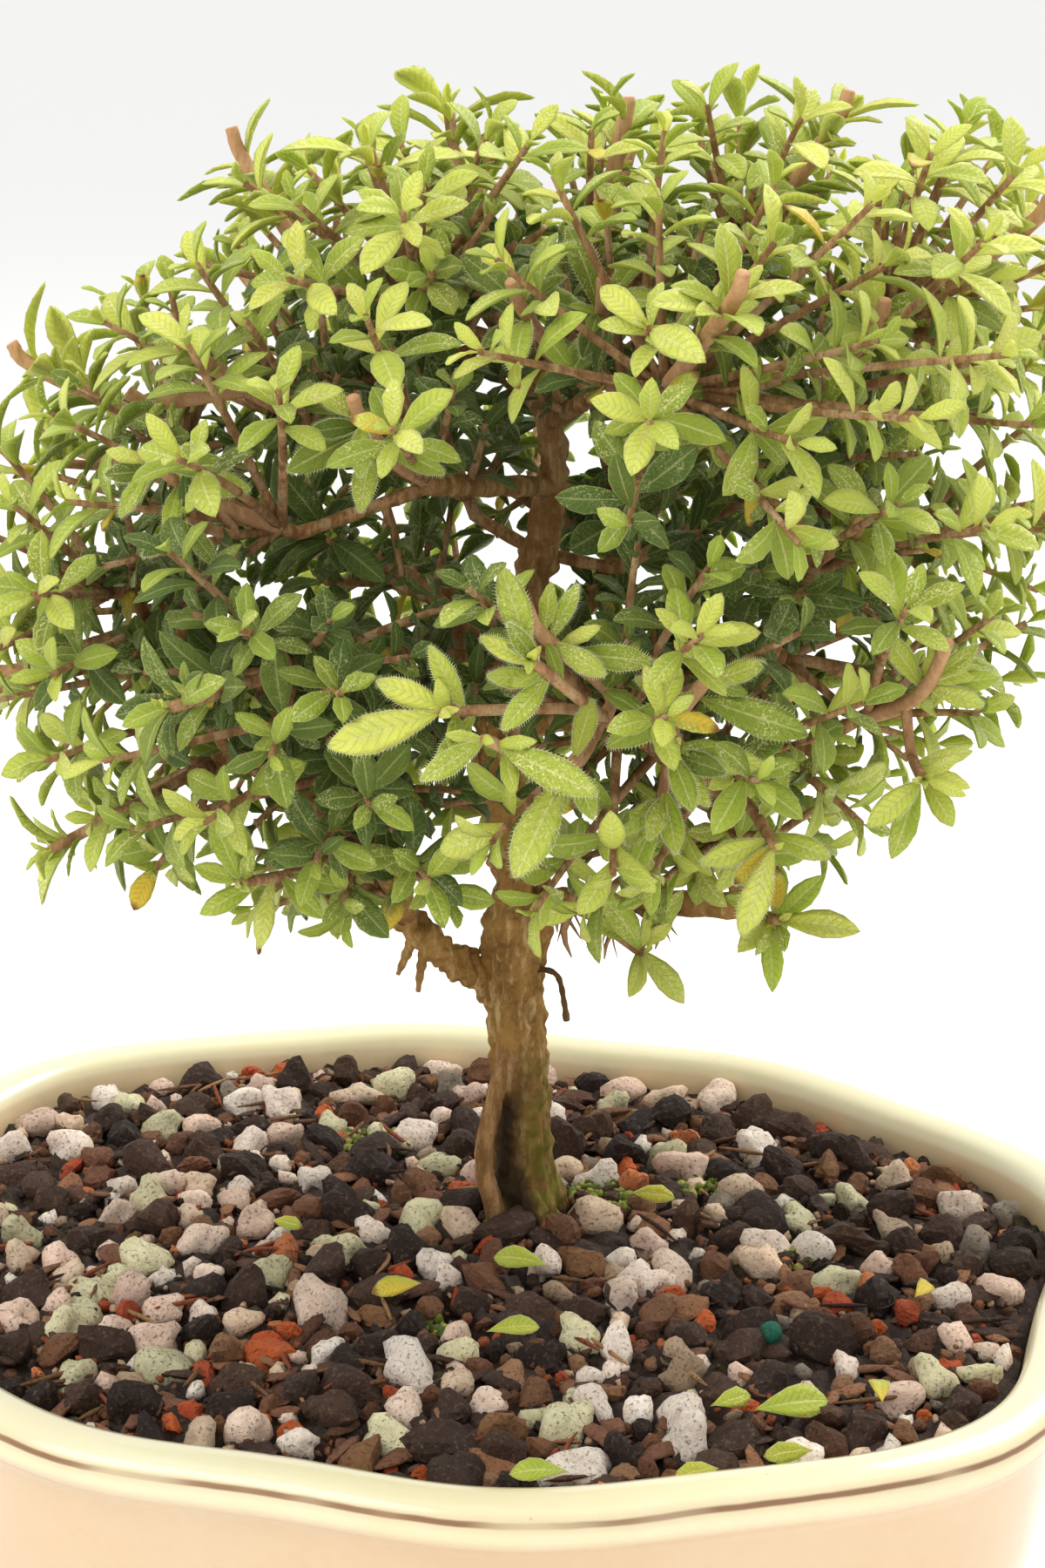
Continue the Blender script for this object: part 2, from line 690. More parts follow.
FINE_LEAF = leaf_form([0.06, 0.24, 0.45, 0.65, 0.82, 0.94], [0.13, 0.5, 0.86, 1.0, 0.78, 0.36],
                      [-1, -0.5, 0, 0.5, 1, 0.5, 0, -0.5], [0, 0, 0, 0, 0, 1, 1, 1])
SMALL_LEAF = leaf_form([0.08, 0.36, 0.68, 0.92], [0.16, 0.78, 1.0, 0.46],
                       [-1, -0.4, 0.4, 1, 0.4, -0.4], [0, 0, 0, 0, 1, 1])
FINE_FROM = 7.5
LEAF_THICKNESS = 0.34


def leaf_mesh(leaves, form=FINE_LEAF):
    """All leaves at once. Across the blade it spreads by its outline and lifts into a V; along it,
    it arches as half a sine wave and its tip turns down a little. Returns points (leaf, n, 3) and
    (across, along) for each point."""
    base = np.array([leaf["base"] for leaf in leaves])
    along = np.array([leaf["along"] for leaf in leaves])
    top = np.array([leaf["top"] for leaf in leaves])
    length = np.array([leaf["length"] for leaf in leaves])[:, None, None]
    wide = np.array([leaf.get("width", LEAF_WIDTH) for leaf in leaves])[:, None, None]
    fold = np.array([leaf.get("fold", LEAF_FOLD) for leaf in leaves])[:, None, None]
    side = np.cross(along, top)
    half = length * wide / 2
    t = form["rows"][None, :, None]
    u = form["across"][None, None, :]
    spread = form["spread"][None, :, None]
    ident = np.arange(len(leaves))[:, None, None]
    wave = 0.1 * np.sin(t * 9 + TURN * draw(ident, 3)) * np.sign(u) * (np.abs(u) > 0.9)
    lift = LEAF_ARCH * length * np.sin(np.pi * t)
    lift = lift + fold * half * spread * (np.abs(u) ** 1.15 + wave)
    lift = lift - 0.05 * length * t ** 3
    lift = lift - form["below"] * LEAF_THICKNESS * (1.15 - np.abs(u)) * (0.6 + spread)
    t, lift = np.broadcast_arrays(t, lift)
    across = half * spread * u
    points = base[:, None, None] + along[:, None, None] * (t * length)[..., None] \
        + side[:, None, None] * across[..., None] + top[:, None, None] * lift[..., None]
    points = points.reshape(len(leaves), form["count"] - 2, 3)
    petiole = base - along * 0.2 - top * 0.15
    droop = base + along * length[:, 0] - top * 0.05 * length[:, 0]
    points = np.concatenate([points, petiole[:, None], droop[:, None]], 1)
    where = np.stack(np.broadcast_arrays(u[0], form["rows"][:, None]), -1).reshape(-1, 2)
    return points, np.vstack([where, [0, 0], [0, 1]])


def add_leaves(heap, leaves, **values):
    """Adds leaves to a heap, with where each point lies on its leaf and the leaf's tone. Short
    leaves take the plainer net."""
    for form in (FINE_LEAF, SMALL_LEAF):
        some = [leaf for leaf in leaves if (leaf["length"] >= FINE_FROM) == (form is FINE_LEAF)]
        if not some:
            continue
        points, where = leaf_mesh(some, form)
        count, size = len(some), form["count"]
        seed = np.array([leaf["seed"] for leaf in some])[:, None, None]
        on_leaf = np.concatenate([np.broadcast_to(where, (count, size, 2)),
                                  np.broadcast_to(seed, (count, size, 1))], 2)
        tone = np.repeat([leaf["tone"] for leaf in some], size, 0)
        first = np.arange(count)[:, None, None] * size
        faces = [*(form["quads"] + first).reshape(-1, 4).tolist(),
                 *(form["fans"] + first).reshape(-1, 3).tolist()]
        heap.add(points, faces, on_leaf=on_leaf.reshape(-1, 3), tone=tone, **values)


# ---------------------------------------------------------------- node helpers

def rgb(code):
    """An sRGB colour code as linear light."""
    parts = [int(code[i:i + 2], 16) / 255 for i in (1, 3, 5)]
    return (*[p / 12.92 if p <= 0.04045 else ((p + 0.055) / 1.055) ** 2.4 for p in parts], 1.0)


class Graph:
    """A node tree with short ways to add nodes: values or links go in by socket name or number."""

    def __init__(self, tree, place=None):
        self.tree, self.place = tree, place

    def feed(self, node, inputs):
        """Gives a node's inputs their values, or links from other nodes."""
        for key, value in inputs.items():
            if isinstance(value, bpy.types.NodeSocket):
                self.tree.links.new(value, node.inputs[key])
            else:
                node.inputs[key].default_value = value

    def add(self, kind, inputs=None, **settings):
        node = self.tree.nodes.new(kind)
        for key, value in settings.items():
            setattr(node, key, value)
        self.feed(node, inputs or {})
        return node

    def spot(self):
        """Object coordinates, from one node for the whole graph."""
        if self.place is None:
            self.place = self.add("ShaderNodeTexCoord").outputs["Object"]
        return self.place

    def parts(self, attribute):
        """The three values that each point holds under a name."""
        field = self.add("ShaderNodeAttribute", attribute_name=attribute).outputs["Vector"]
        return list(self.add("ShaderNodeSeparateXYZ", {0: field}).outputs)

    def math(self, operation, a, b=0.0, c=0.0, clamp=False):
        inputs = {0: a, 1: b, 2: c}
        return self.add("ShaderNodeMath", inputs, operation=operation, use_clamp=clamp).outputs[0]

    def times(self, a, b):
        return self.math("MULTIPLY", a, b)

    def ramp(self, value, low, high, to_low=0.0, to_high=1.0):
        """A smooth step of value from low to high."""
        inputs = {0: value, 1: low, 2: high, 3: to_low, 4: to_high}
        return self.add("ShaderNodeMapRange", inputs, interpolation_type="SMOOTHSTEP").outputs[0]

    def blend(self, share, a, b, kind="MIX"):
        inputs = {0: share, 6: a, 7: b}
        return self.add("ShaderNodeMix", inputs, data_type="RGBA", blend_type=kind).outputs[2]

    def noise(self, scale, detail, rough, vector=None):
        inputs = {"Scale": scale, "Detail": detail, "Roughness": rough,
                  "Vector": self.spot() if vector is None else vector}
        return self.add("ShaderNodeTexNoise", inputs).outputs[0]

    def lay(self, colour, *coats):
        """Coats laid over a colour in turn, each as a mask, a share of it, and a colour code."""
        for mask, share, code in coats:
            cover = mask if share is None else self.times(mask, share)
            colour = self.blend(cover, colour, rgb(code))
        return colour

    def bump(self, shader, height, distance, strength):
        inputs = {"Strength": strength, "Distance": distance, "Height": height}
        self.feed(shader, {"Normal": self.add("ShaderNodeBump", inputs).outputs[0]})


def make_mottle():
    """Slow and fine noise as one mask, in a node group: slow noise times its share plus fine noise
    times the rest."""
    tree = bpy.data.node_groups.new("mottle", "ShaderNodeTree")
    number = "NodeSocketFloat"
    tree.interface.new_socket("Vector", in_out="INPUT", socket_type="NodeSocketVector")
    for label, value in (("Slow", 60.0), ("Fine", 700.0), ("Share", 0.6)):
        tree.interface.new_socket(label, in_out="INPUT", socket_type=number).default_value = value
    for label in ("Mask", "Fine"):
        tree.interface.new_socket(label, in_out="OUTPUT", socket_type=number)
    g = Graph(tree)
    given = g.add("NodeGroupInput").outputs
    g.place = given["Vector"]
    slow = g.noise(given["Slow"], 3, 0.5)
    fine = g.noise(given["Fine"], 5, 0.65)
    rest = g.math("SUBTRACT", 1.0, given["Share"])
    total = g.math("ADD", g.times(slow, given["Share"]), g.times(fine, rest))
    g.add("NodeGroupOutput", {"Mask": g.ramp(total, 0.3, 0.7), "Fine": fine})
    return tree


MOTTLE = make_mottle()


def mottle(g, slow, fine, share):
    """The mottle group's mask and its fine noise."""
    inputs = {"Vector": g.spot(), "Slow": slow, "Fine": fine, "Share": share}
    outputs = g.add("ShaderNodeGroup", inputs, node_tree=MOTTLE).outputs
    return outputs["Mask"], outputs["Fine"]


def new_material(name):
    """A material with its graph and its shader."""
    material = bpy.data.materials.new(name)
    material.use_nodes = True
    tree = material.node_tree
    shader = next(n for n in tree.nodes if n.type == "BSDF_PRINCIPLED")
    return material, Graph(tree), shader


def foliage_material():
    """Leaf colour by age, with pale midrib, veins and margin, cream specks, and a few yellow
    leaves; the veins also stand in relief."""
    material, g, shader = new_material("living_leaf")
    side, along, seed = g.parts("on_leaf")
    age, speckled, dry = g.parts("tone")
    across = g.math("ABSOLUTE", side)
    young = g.blend(g.ramp(age, 0.0, 0.45), rgb("#dde264"), rgb("#a7b83b"))
    green = g.lay(young, (g.ramp(age, 0.4, 1.0), None, "#4c6222"),
                  (g.ramp(g.noise(130.0, 2, 0.5), 0.4, 0.7, 0.0, 0.2), None, "#748228"))
    green = g.blend(g.ramp(seed, 0.6, 1.0, 0.0, 0.3), green, rgb("#b9a83c"), "MULTIPLY")
    vein_wave = g.math("SINE", g.times(g.math("SUBTRACT", along, g.times(across, 0.16)), 62.0))
    vein = g.times(g.ramp(vein_wave, 0.72, 1.0), g.ramp(across, 1.0, 0.5))
    rib = g.ramp(across, 0.12, 0.02)
    margin = g.ramp(across, 0.86, 1.0)
    specks = g.ramp(g.noise(3600.0, 2, 0.6), 0.54, 0.6)
    patch = g.ramp(g.noise(300.0, 3, 0.55), 0.4, 0.6)
    speck = g.times(g.times(specks, patch), g.times(speckled, g.ramp(age, 0.45, 1.0, 1.0, 0.45)))
    green = g.lay(
        green,
        (g.ramp(along, 0.5, 1.0), g.ramp(age, 0.8, 0.2, 0.0, 0.34), "#d3da6e"),
        (vein, 0.16, "#c3ca70"),
        (rib, g.ramp(age, 0.4, 1.0, 0.6, 0.28), "#dfe190"),
        (margin, g.ramp(age, 1.0, 0.4, 0.2, 0.7), "#dde08e"),
        (speck, 0.9, "#e8e3a6"),
        (dry, g.ramp(g.noise(160.0, 2, 0.5), 0.3, 0.6), "#d6b93c"),
        (g.ramp(dry, 0.4, 1.0), g.ramp(along, 0.82, 0.95), "#8a5a2c"),
        (g.ramp(along, 0.12, 0.0), 0.7, "#c9b45f"))
    g.feed(shader, {
        "Base Color": green, "Roughness": g.ramp(g.noise(900.0, 2, 0.5), 0.3, 0.7, 0.42, 0.6),
        "Subsurface Weight": 0.25, "Subsurface Radius": (0.5, 0.7, 0.15),
        "Subsurface Scale": 0.0012, "Sheen Weight": 0.05, "Specular IOR Level": 0.28})
    height = g.math("ADD", g.times(vein, -0.6), g.times(rib, -0.3))
    height = g.math("ADD", height, g.times(g.noise(1300.0, 3, 0.6), 1.6))
    g.bump(shader, height, 0.00025, 0.8)
    return material


def bark_material(name, dark, warm, pale, ridge=0.0006):
    """Flaking bark: furrows run along the wood, lumps across it, with moss, green skin and pale
    cut ends where the points ask for them (kind = moss, green, cut)."""
    material, g, shader = new_material(name)
    mask, fine = mottle(g, 180.0, 1400.0, 0.55)
    moss, green, cut = g.parts("kind")
    stretched = g.add("ShaderNodeMapping", {0: g.spot(), 3: (1.0, 1.0, 0.22)}).outputs[0]
    furrow = g.noise(620.0, 4, 0.62, stretched)
    flakes = g.noise(240.0, 4, 0.6, stretched)
    height_up = g.add("ShaderNodeSeparateXYZ", {0: g.spot()}).outputs[2]
    mossy = g.times(moss, g.ramp(g.noise(330.0, 4, 0.6), 0.4, 0.56))
    colour = g.lay(
        g.blend(mask, rgb(dark), rgb(warm)),
        (g.ramp(furrow, 0.5, 0.68, 0.0, 0.7), None, pale),
        (g.ramp(flakes, 0.36, 0.26, 0.0, 0.75), None, "#2c1d13"),
        (g.ramp(height_up, 0.094, 0.06, 0.0, 0.5), None, "#3d2b13"),
        (mossy, 0.85, "#6c6a24"))
    skin = g.lay(
        g.blend(g.ramp(furrow, 0.38, 0.62), rgb("#7b5433"), rgb("#b98d62")),
        (g.ramp(g.noise(420.0, 3, 0.6, stretched), 0.52, 0.64, 0.0, 0.6), None, "#cdb08a"),
        (g.ramp(g.noise(2300.0, 2, 0.6), 0.58, 0.66, 0.0, 0.65), None, "#553821"))
    colour = g.blend(g.times(green, 0.9), colour, skin)
    colour = g.blend(cut, colour, g.blend(fine, rgb("#e0b88a"), rgb("#c98f62")))
    hollow = g.math("MULTIPLY", cut, -0.85, clamp=True)
    colour = g.lay(colour, (hollow, None, "#1d140b"))
    g.feed(shader, {"Base Color": colour, "Roughness": 0.82, "Specular IOR Level": 0.25})
    g.bump(shader, g.math("ADD", furrow, g.times(flakes, 1.2)), ridge, 0.9)
    return material


def glaze_material():
    """Cream glaze: slow warm clouds, a thin brown break line where the points ask for it, a bare
    beige band inside, faint grey mould strokes, and a clear gloss (zone = lip, height above the
    line, bare)."""
    material, g, shader = new_material("cream_glaze")
    mask, fine = mottle(g, 18.0, 420.0, 0.8)
    on_lip, above, bare = g.parts("zone")
    body = g.blend(mask, rgb("#e9cfab"), rgb("#e1c199"))
    lip = g.blend(mask, rgb("#f1ebc6"), rgb("#ebe0b5"))
    wobble = g.times(g.math("SUBTRACT", g.noise(55.0, 3, 0.6), 0.5), 0.9)
    line = g.math("ABSOLUTE", g.math("ADD", above, wobble))
    broken = g.math("MULTIPLY_ADD", g.ramp(g.noise(38.0, 2, 0.5), 0.36, 0.52), 0.7, 0.3)
    colour = g.lay(
        g.blend(on_lip, body, lip),
        (g.times(g.ramp(line, 0.55, 0.2), broken), 0.95, "#5e3217"),
        (g.ramp(line, 1.6, 0.3), 0.28, "#c8935f"))
    colour = g.blend(bare, colour, g.blend(fine, rgb("#ead2a8"), rgb("#dcbf92")))
    from_middle = g.math("ABSOLUTE", g.math("SUBTRACT", g.noise(26.0, 3, 0.6), 0.5))
    stroke = g.times(g.ramp(from_middle, 0.006, 0.001), g.ramp(g.noise(14.0, 2, 0.5), 0.62, 0.72))
    colour = g.lay(colour, (stroke, 0.35, "#9a958c"),
                   (g.ramp(g.noise(520.0, 1, 0.5), 0.8, 0.84), 0.3, "#a5713f"))
    g.feed(shader, {"Base Color": colour, "Roughness": g.math("MULTIPLY_ADD", bare, 0.4, 0.2),
                    "Coat Weight": 0.5, "Coat Roughness": 0.08})
    g.bump(shader, g.noise(45.0, 2, 0.5), 0.0012, 0.35)
    return material


def granule_material():
    """Stone and clay grains: each grain's own colour, mottled and pitted."""
    material, g, shader = new_material("mineral_grains")
    mask, _ = mottle(g, 320.0, 1500.0, 0.5)
    own = g.add("ShaderNodeAttribute", attribute_name="grain").outputs["Color"]
    colour = g.blend(g.times(mask, 0.4), own, rgb("#b08c72"), "MULTIPLY")
    pits = g.ramp(g.noise(1900.0, 3, 0.6), 0.42, 0.3)
    colour = g.lay(
        colour,
        (g.ramp(g.noise(1300.0, 4, 0.7), 0.54, 0.66), 0.3, "#8d7460"),
        (pits, 0.5, "#4a382d"),
        (g.ramp(g.noise(260.0, 3, 0.6), 0.55, 0.7), 0.22, "#4a382c"))
    g.feed(shader, {"Base Color": colour, "Roughness": 0.85, "Specular IOR Level": 0.3})
    g.bump(shader, g.math("ADD", g.noise(900.0, 5, 0.65), g.times(pits, -0.5)), 0.0006, 0.9)
    return material


def earth_material():
    """Dark moist earth between the grains, with brown fibres and a green film in places."""
    material, g, shader = new_material("dark_earth")
    mask, fine = mottle(g, 150.0, 900.0, 0.45)
    film = g.times(g.ramp(g.noise(70.0, 3, 0.6), 0.56, 0.66), g.ramp(fine, 0.4, 0.6))
    colour = g.lay(
        g.blend(mask, rgb("#231814"), rgb("#4a3428")),
        (g.ramp(g.noise(700.0, 5, 0.7), 0.58, 0.68), 0.7, "#7a5236"),
        (film, 0.55, "#5c5a24"))
    g.feed(shader, {"Base Color": colour, "Roughness": 0.8})
    g.bump(shader, g.noise(600.0, 6, 0.7), 0.0012, 1.0)
    return material


def plastic_material():
    """Dark moulded mesh with a faint grain."""
    material, g, shader = new_material("mesh_plastic")
    mask, fine = mottle(g, 200.0, 1200.0, 0.5)
    g.feed(shader, {"Base Color": g.blend(mask, rgb("#222b26"), rgb("#2f3c35")),
                    "Roughness": g.ramp(fine, 0.3, 0.7, 0.45, 0.65)})
    g.bump(shader, fine, 0.0001, 0.5)
    return material


def hair_material():
    """Pale leaf hairs."""
    material, g, shader = new_material("leaf_hair")
    colour = g.blend(g.noise(900.0, 2, 0.5), rgb("#e6eab8"), rgb("#c9d58a"))
    g.feed(shader, {"Base Color": colour, "Roughness": 0.6})
    return material


LEAF = foliage_material()
BARK = bark_material("flaking_bark", "#7b5a2e", "#bb8f4e", "#dabb82")
TWIG = bark_material("twig_skin", "#8a6a44", "#ab8a60", "#c9ad88", 0.0005)
GLAZE = glaze_material()
GRAINS = granule_material()
EARTH = earth_material()
PLASTIC = plastic_material()
HAIR = hair_material()


# ---------------------------------------------------------------- camera

# A picture of 1200 by 1800: its middle, and the focal length in its pixels
PICTURE_MIDDLE = (600, 900)
PICTURE_HEIGHT = 1800
CAMERA_FOCUS = 3400.0
SENSOR = 36.0
CAMERA_PLACE = np.array([125.2, -390.3, 252.5])
CAMERA_HEADING = math.radians(16.4)
CAMERA_DIP = math.radians(16.8)
AHEAD = np.array([-math.sin(CAMERA_HEADING), math.cos(CAMERA_HEADING), 0.0])
VIEW_RIGHT = np.array([math.cos(CAMERA_HEADING), math.sin(CAMERA_HEADING), 0.0])
VIEW_FORWARD = AHEAD * math.cos(CAMERA_DIP) - UP * math.sin(CAMERA_DIP)
VIEW_ABOVE = AHEAD * math.sin(CAMERA_DIP) + UP * math.cos(CAMERA_DIP)


def seen_at(x, y, height):
    """The point at that height which the camera sees at a place of the picture."""
    right, down = x - PICTURE_MIDDLE[0], y - PICTURE_MIDDLE[1]
    ray = VIEW_FORWARD + (VIEW_RIGHT * right - VIEW_ABOVE * down) / CAMERA_FOCUS
    return CAMERA_PLACE + ray * (height - CAMERA_PLACE[2]) / ray[2]


def picture_place(at):
    """Where the camera sees a point in the picture: focal length times sideways over ahead."""
    d = at - CAMERA_PLACE
    ahead = d @ VIEW_FORWARD
    return (PICTURE_MIDDLE[0] + CAMERA_FOCUS * (d @ VIEW_RIGHT) / ahead,
            PICTURE_MIDDLE[1] - CAMERA_FOCUS * (d @ VIEW_ABOVE) / ahead)


# ---------------------------------------------------------------- pot

# Profile as distance inside the rim and height, from the base's edge up, over the lip and in.
POT_PROFILE = np.array([
    [18, 5], [16.4, 6.3], [14.2, 9], [11.6, 13.4], [9, 19], [6.6, 27.6], [4.9, 36.4], [3.7, 45],
    [2.9, 51.2], [2.5, 52.6], [1.5, 53.5], [0.5, 54.3], [0.1, 55.6], [0, 56.8], [0.12, 57.7],
    [0.5, 58.5], [1.3, 59.2], [2.6, 59.75], [4.3, 60], [5.9, 59.9], [7.2, 59.4], [8.1, 58.4],
    [8.6, 57], [9.4, 52.2], [10.4, 44], [11.6, 33], [12.6, 22], [14.4, 13.6], [19, 10]])
HIGHEST = 18
BREAK_LINE = 57.9
LIP_FROM = 54.0
BARE_BELOW = 58.2
POT_ANGLES = 288
DISC_SHARES = (0.3, 0.7)
# A foot's section as distance inside the rim and height, and the rows along it.
FOOT_SECTION = np.array([[21.4, 0], [29.2, 0], [30, 0.9], [30, 6.4], [18.5, 6.4], [20.2, 1.1]])
FOOT_MIDDLE = 25.0
FOOT_ROWS = 15
FOOT_BEVEL = 0.0005
DRAIN_SIDES = 48
CUTTER_TOP = 14


def rim_radius(angle):
    """The rim's outline: its mean radius times one plus its waves."""
    return RIM_RADIUS * (1 + sum(depth * np.cos(count * angle) for count, depth in RIM_WAVES))


def pot_ring(inset, z, angle, scale=1.0):
    """The rim's outline drawn in by an inset, at a height."""
    radius = (rim_radius(angle) - inset) * scale
    return np.stack([radius * np.cos(angle), radius * np.sin(angle), np.full_like(angle, z)], -1)


def add_pot_body(heap):
    """The profile carried round the rim's outline, closed under and inside by a disc each."""
    angle = ring_angles(POT_ANGLES)
    under, inside = POT_PROFILE[0], POT_PROFILE[-1]
    rings = [pot_ring(*under, angle, share) for share in DISC_SHARES]
    rings += [pot_ring(inset, z, angle) for inset, z in POT_PROFILE]
    rings += [pot_ring(*inside, angle, share) for share in DISC_SHARES[::-1]]
    points = np.concatenate([*rings, [[0, 0, under[1]]], [[0, 0, inside[1]]]])
    end = len(rings) * POT_ANGLES
    faces = [*grid_faces(len(rings), POT_ANGLES).tolist(),
             *fan(end, 0, POT_ANGLES)[:, BACK].tolist(),
             *fan(end + 1, end - POT_ANGLES, POT_ANGLES).tolist()]
    heap.add(points, faces)


def pot_zones(points):
    """For each point of the pot: how far it belongs to the lip, its height above the glaze's break
    line on the outside, and how far it belongs to the bare band inside."""
    x, y, z = points.T
    inset = rim_radius(np.arctan2(y, x)) - np.hypot(x, y)
    up, down = POT_PROFILE[:HIGHEST + 1], POT_PROFILE[HIGHEST:][::-1]
    outer, inner = np.interp(z, up[:, 1], up[:, 0]), np.interp(z, down[:, 1], down[:, 0])
    inside = np.abs(inset - inner) < np.abs(inset - outer)
    line = np.where(inside, 10.0, np.clip(z - BREAK_LINE, -20, 20))
    bare = np.where(inside, np.clip((BARE_BELOW - z) / 1.6, 0, 1), 0)
    return np.stack([np.clip((z - LIP_FROM) / 1.5, 0, 1), line, bare], -1)


def add_foot(heap, middle):
    """A low bar under the base: a rounded section carried along the base's outline, drawn in at
    both ends as a superellipse."""
    share = np.sin(np.linspace(-1, 1, FOOT_ROWS) * math.pi / 2)
    angle = middle + FOOT_HALF_SPAN * share
    ends = np.maximum(1 - np.abs(share) ** 5, 0.12) ** 0.4
    inset = mix(FOOT_MIDDLE, FOOT_SECTION[None, :, 0], ends[:, None])
    radius = rim_radius(angle)[:, None] - inset
    height = FOOT_SECTION[None, :, 1] + 0 * radius
    x, y = radius * np.cos(angle)[:, None], radius * np.sin(angle)[:, None]
    points = np.stack([x, y, height], -1)
    heap.add(points, tube_faces(FOOT_ROWS, len(FOOT_SECTION)), zone=np.array([0, 99.0, 0]))


def drain_cutter(name, x):
    """A plain drum to cut a drain hole with, turned so that its sides miss the pot's own lines."""
    angle = ring_angles(DRAIN_SIDES, 0.37)
    ring = np.stack([x + DRAIN_RADIUS * np.cos(angle), DRAIN_RADIUS * np.sin(angle)], -1)
    points = np.vstack([np.c_[ring, np.full(DRAIN_SIDES, z)] for z in (0, CUTTER_TOP)])
    return new_object(name, points, tube_faces(2, DRAIN_SIDES), [GLAZE], smooth=False)


def finished(made):
    """Carries out the modifiers of an object's mesh."""
    graph = bpy.context.evaluated_depsgraph_get()
    mesh = bpy.data.meshes.new_from_object(made.evaluated_get(graph))
    made.modifiers.clear()
    made.data = mesh


def make_pot():
    """The glazed body with its two drain holes, and its four feet."""
    heap = Heap()
    add_pot_body(heap)
    pot = heap.build("pot_glazed", GLAZE)
    for side in (-1, 1):
        cutter = drain_cutter(f"drain_{side + 1}", side * DRAIN_OFFSET)
        cut = pot.modifiers.new("drain", "BOOLEAN")
        cut.operation, cut.object, cut.solver = "DIFFERENCE", cutter, "EXACT"
        finished(pot)
        bpy.data.objects.remove(cutter)
    set_values(pot.data, "zone", pot_zones(get_values(pot.data, "co") * 1000))
    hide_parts("pot")
    feet = Heap()
    for middle in FOOT_ANGLES:
        add_foot(feet, middle)
    made = feet.build("pot_feet", GLAZE)
    bevel = made.modifiers.new("soft_edges", "BEVEL")
    bevel.width, bevel.segments, bevel.limit_method = FOOT_BEVEL, 2, "ANGLE"
    finished(made)


# ---------------------------------------------------------------- soil

WAVE_COUNT = 18
STONE_PLANES = 10


def waves(points, length, seed):
    """Seeded plane waves of about one wavelength, added up: a smooth noise of about -1 to 1."""
    k = np.arange(WAVE_COUNT) + 37 * seed
    direction = unit(np.stack([draw(k, 1), draw(k, 2), draw(k, 3)], -1) * 2 - 1)
    rate = TURN / length * mix(0.6, 1.5, draw(k, 4))
    phase = TURN * draw(k, 5)
    total = np.sin(points @ (direction * rate[:, None]).T + phase).sum(-1)
    return total * (1.4 / math.sqrt(WAVE_COUNT))


SOIL_ANGLES = 300
SOIL_RINGS = 74
SOIL_INSET = 9.4
# Relief of the bed: depth, wavelength and seed of each set of waves.
BED_WAVES = ((0.55, 6, 1), (0.4, 2.6, 2), (0.2, 1.3, 3))
BED_BELOW = 0.7
# Inset, height and scale of the rings down the bed's side and under it.
BED_SIDE = ((9.9, 50, 1.0), (13.2, 22, 1.0), (19.6, 12, 1.0), (19.6, 12, 0.4))


def soil_height(x, y):
    """A low mound, highest in the middle by the square of the distance, with one slow wave."""
    share = np.hypot(x, y) / rim_radius(np.arctan2(y, x))
    wave = 0.5 * np.sin(x * 0.11 + 1) * np.cos(y * 0.13 - 0.6)
    return mix(SOIL_MIDDLE, SOIL_EDGE, share ** 2) + wave


def make_soil_bed():
    """Rings inside the wall: a low mound with fine relief on top, plain sides and a flat base."""
    angle = ring_angles(SOIL_ANGLES)
    rings = []
    for share in np.linspace(0.012, 1, SOIL_RINGS):
        ring = pot_ring(SOIL_INSET, 0, angle, share)
        relief = sum(depth * waves(ring, length, seed) for depth, length, seed in BED_WAVES)
        ring[:, 2] = soil_height(ring[:, 0], ring[:, 1]) - BED_BELOW + relief
        rings.append(ring)
    rings += [pot_ring(inset, z, angle, scale) for inset, z, scale in BED_SIDE]
    points = np.concatenate([*rings, [rings[0].mean(0)], [[0, 0, BED_SIDE[-1][1]]]])
    end = len(rings) * SOIL_ANGLES
    faces = [*grid_faces(len(rings), SOIL_ANGLES)[:, ::-1].tolist(),
             *fan(end, 0, SOIL_ANGLES).tolist(),
             *fan(end + 1, end - SOIL_ANGLES, SOIL_ANGLES)[:, BACK].tolist()]
    bed = new_object("soil_bed", points, faces, [EARTH])
    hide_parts("soil")


def cube_ball(cuts):
    """A ball from a cube whose faces are cut into a grid: directions and quads."""
    steps = np.linspace(-1, 1, cuts + 1)
    points, index, faces = [], {}, []
    for axis in range(3):
        for sign in (-1, 1):
            keys = np.empty((cuts + 1, cuts + 1), int)
            for i, a in enumerate(steps):
                for j, b in enumerate(steps):
                    p = [0.0, 0.0, 0.0]
                    p[axis] = sign
                    p[(axis + 1) % 3] = math.tan(a * math.pi / 4)
                    p[(axis + 2) % 3] = math.tan(b * math.pi / 4)
                    key = tuple(round(v, 4) for v in p)
                    if key not in index:
                        index[key] = len(points)
                        points.append(p)
                    keys[i, j] = index[key]
            for i in range(cuts):
                for j in range(cuts):
                    quad = [keys[i, j], keys[i + 1, j], keys[i + 1, j + 1], keys[i, j + 1]]
                    faces.append(quad if sign > 0 else quad[::-1])
    return unit(np.array(points)), np.array(faces)


def spin(angle, axis):
    """A matrix for each angle that turns about the axis with that number."""
    after, before = (axis + 1) % 3, (axis + 2) % 3
    made = np.zeros((len(angle), 3, 3))
    made[:, axis, axis] = 1
    made[:, after, after] = made[:, before, before] = np.cos(angle)
    made[:, before, after] = np.sin(angle)
    made[:, after, before] = -np.sin(angle)
    return made


def turned(seed, flat):
    """One turning matrix for each seed; flat keeps the third axis near upright."""
    tip = mix(3.0, 0.5, flat)
    roll, pitch = (draw(seed, 62) - 0.5) * tip, (draw(seed, 63) - 0.5) * tip
    return spin(TURN * draw(seed, 61), 2) @ spin(roll, 0) @ spin(pitch, 1)


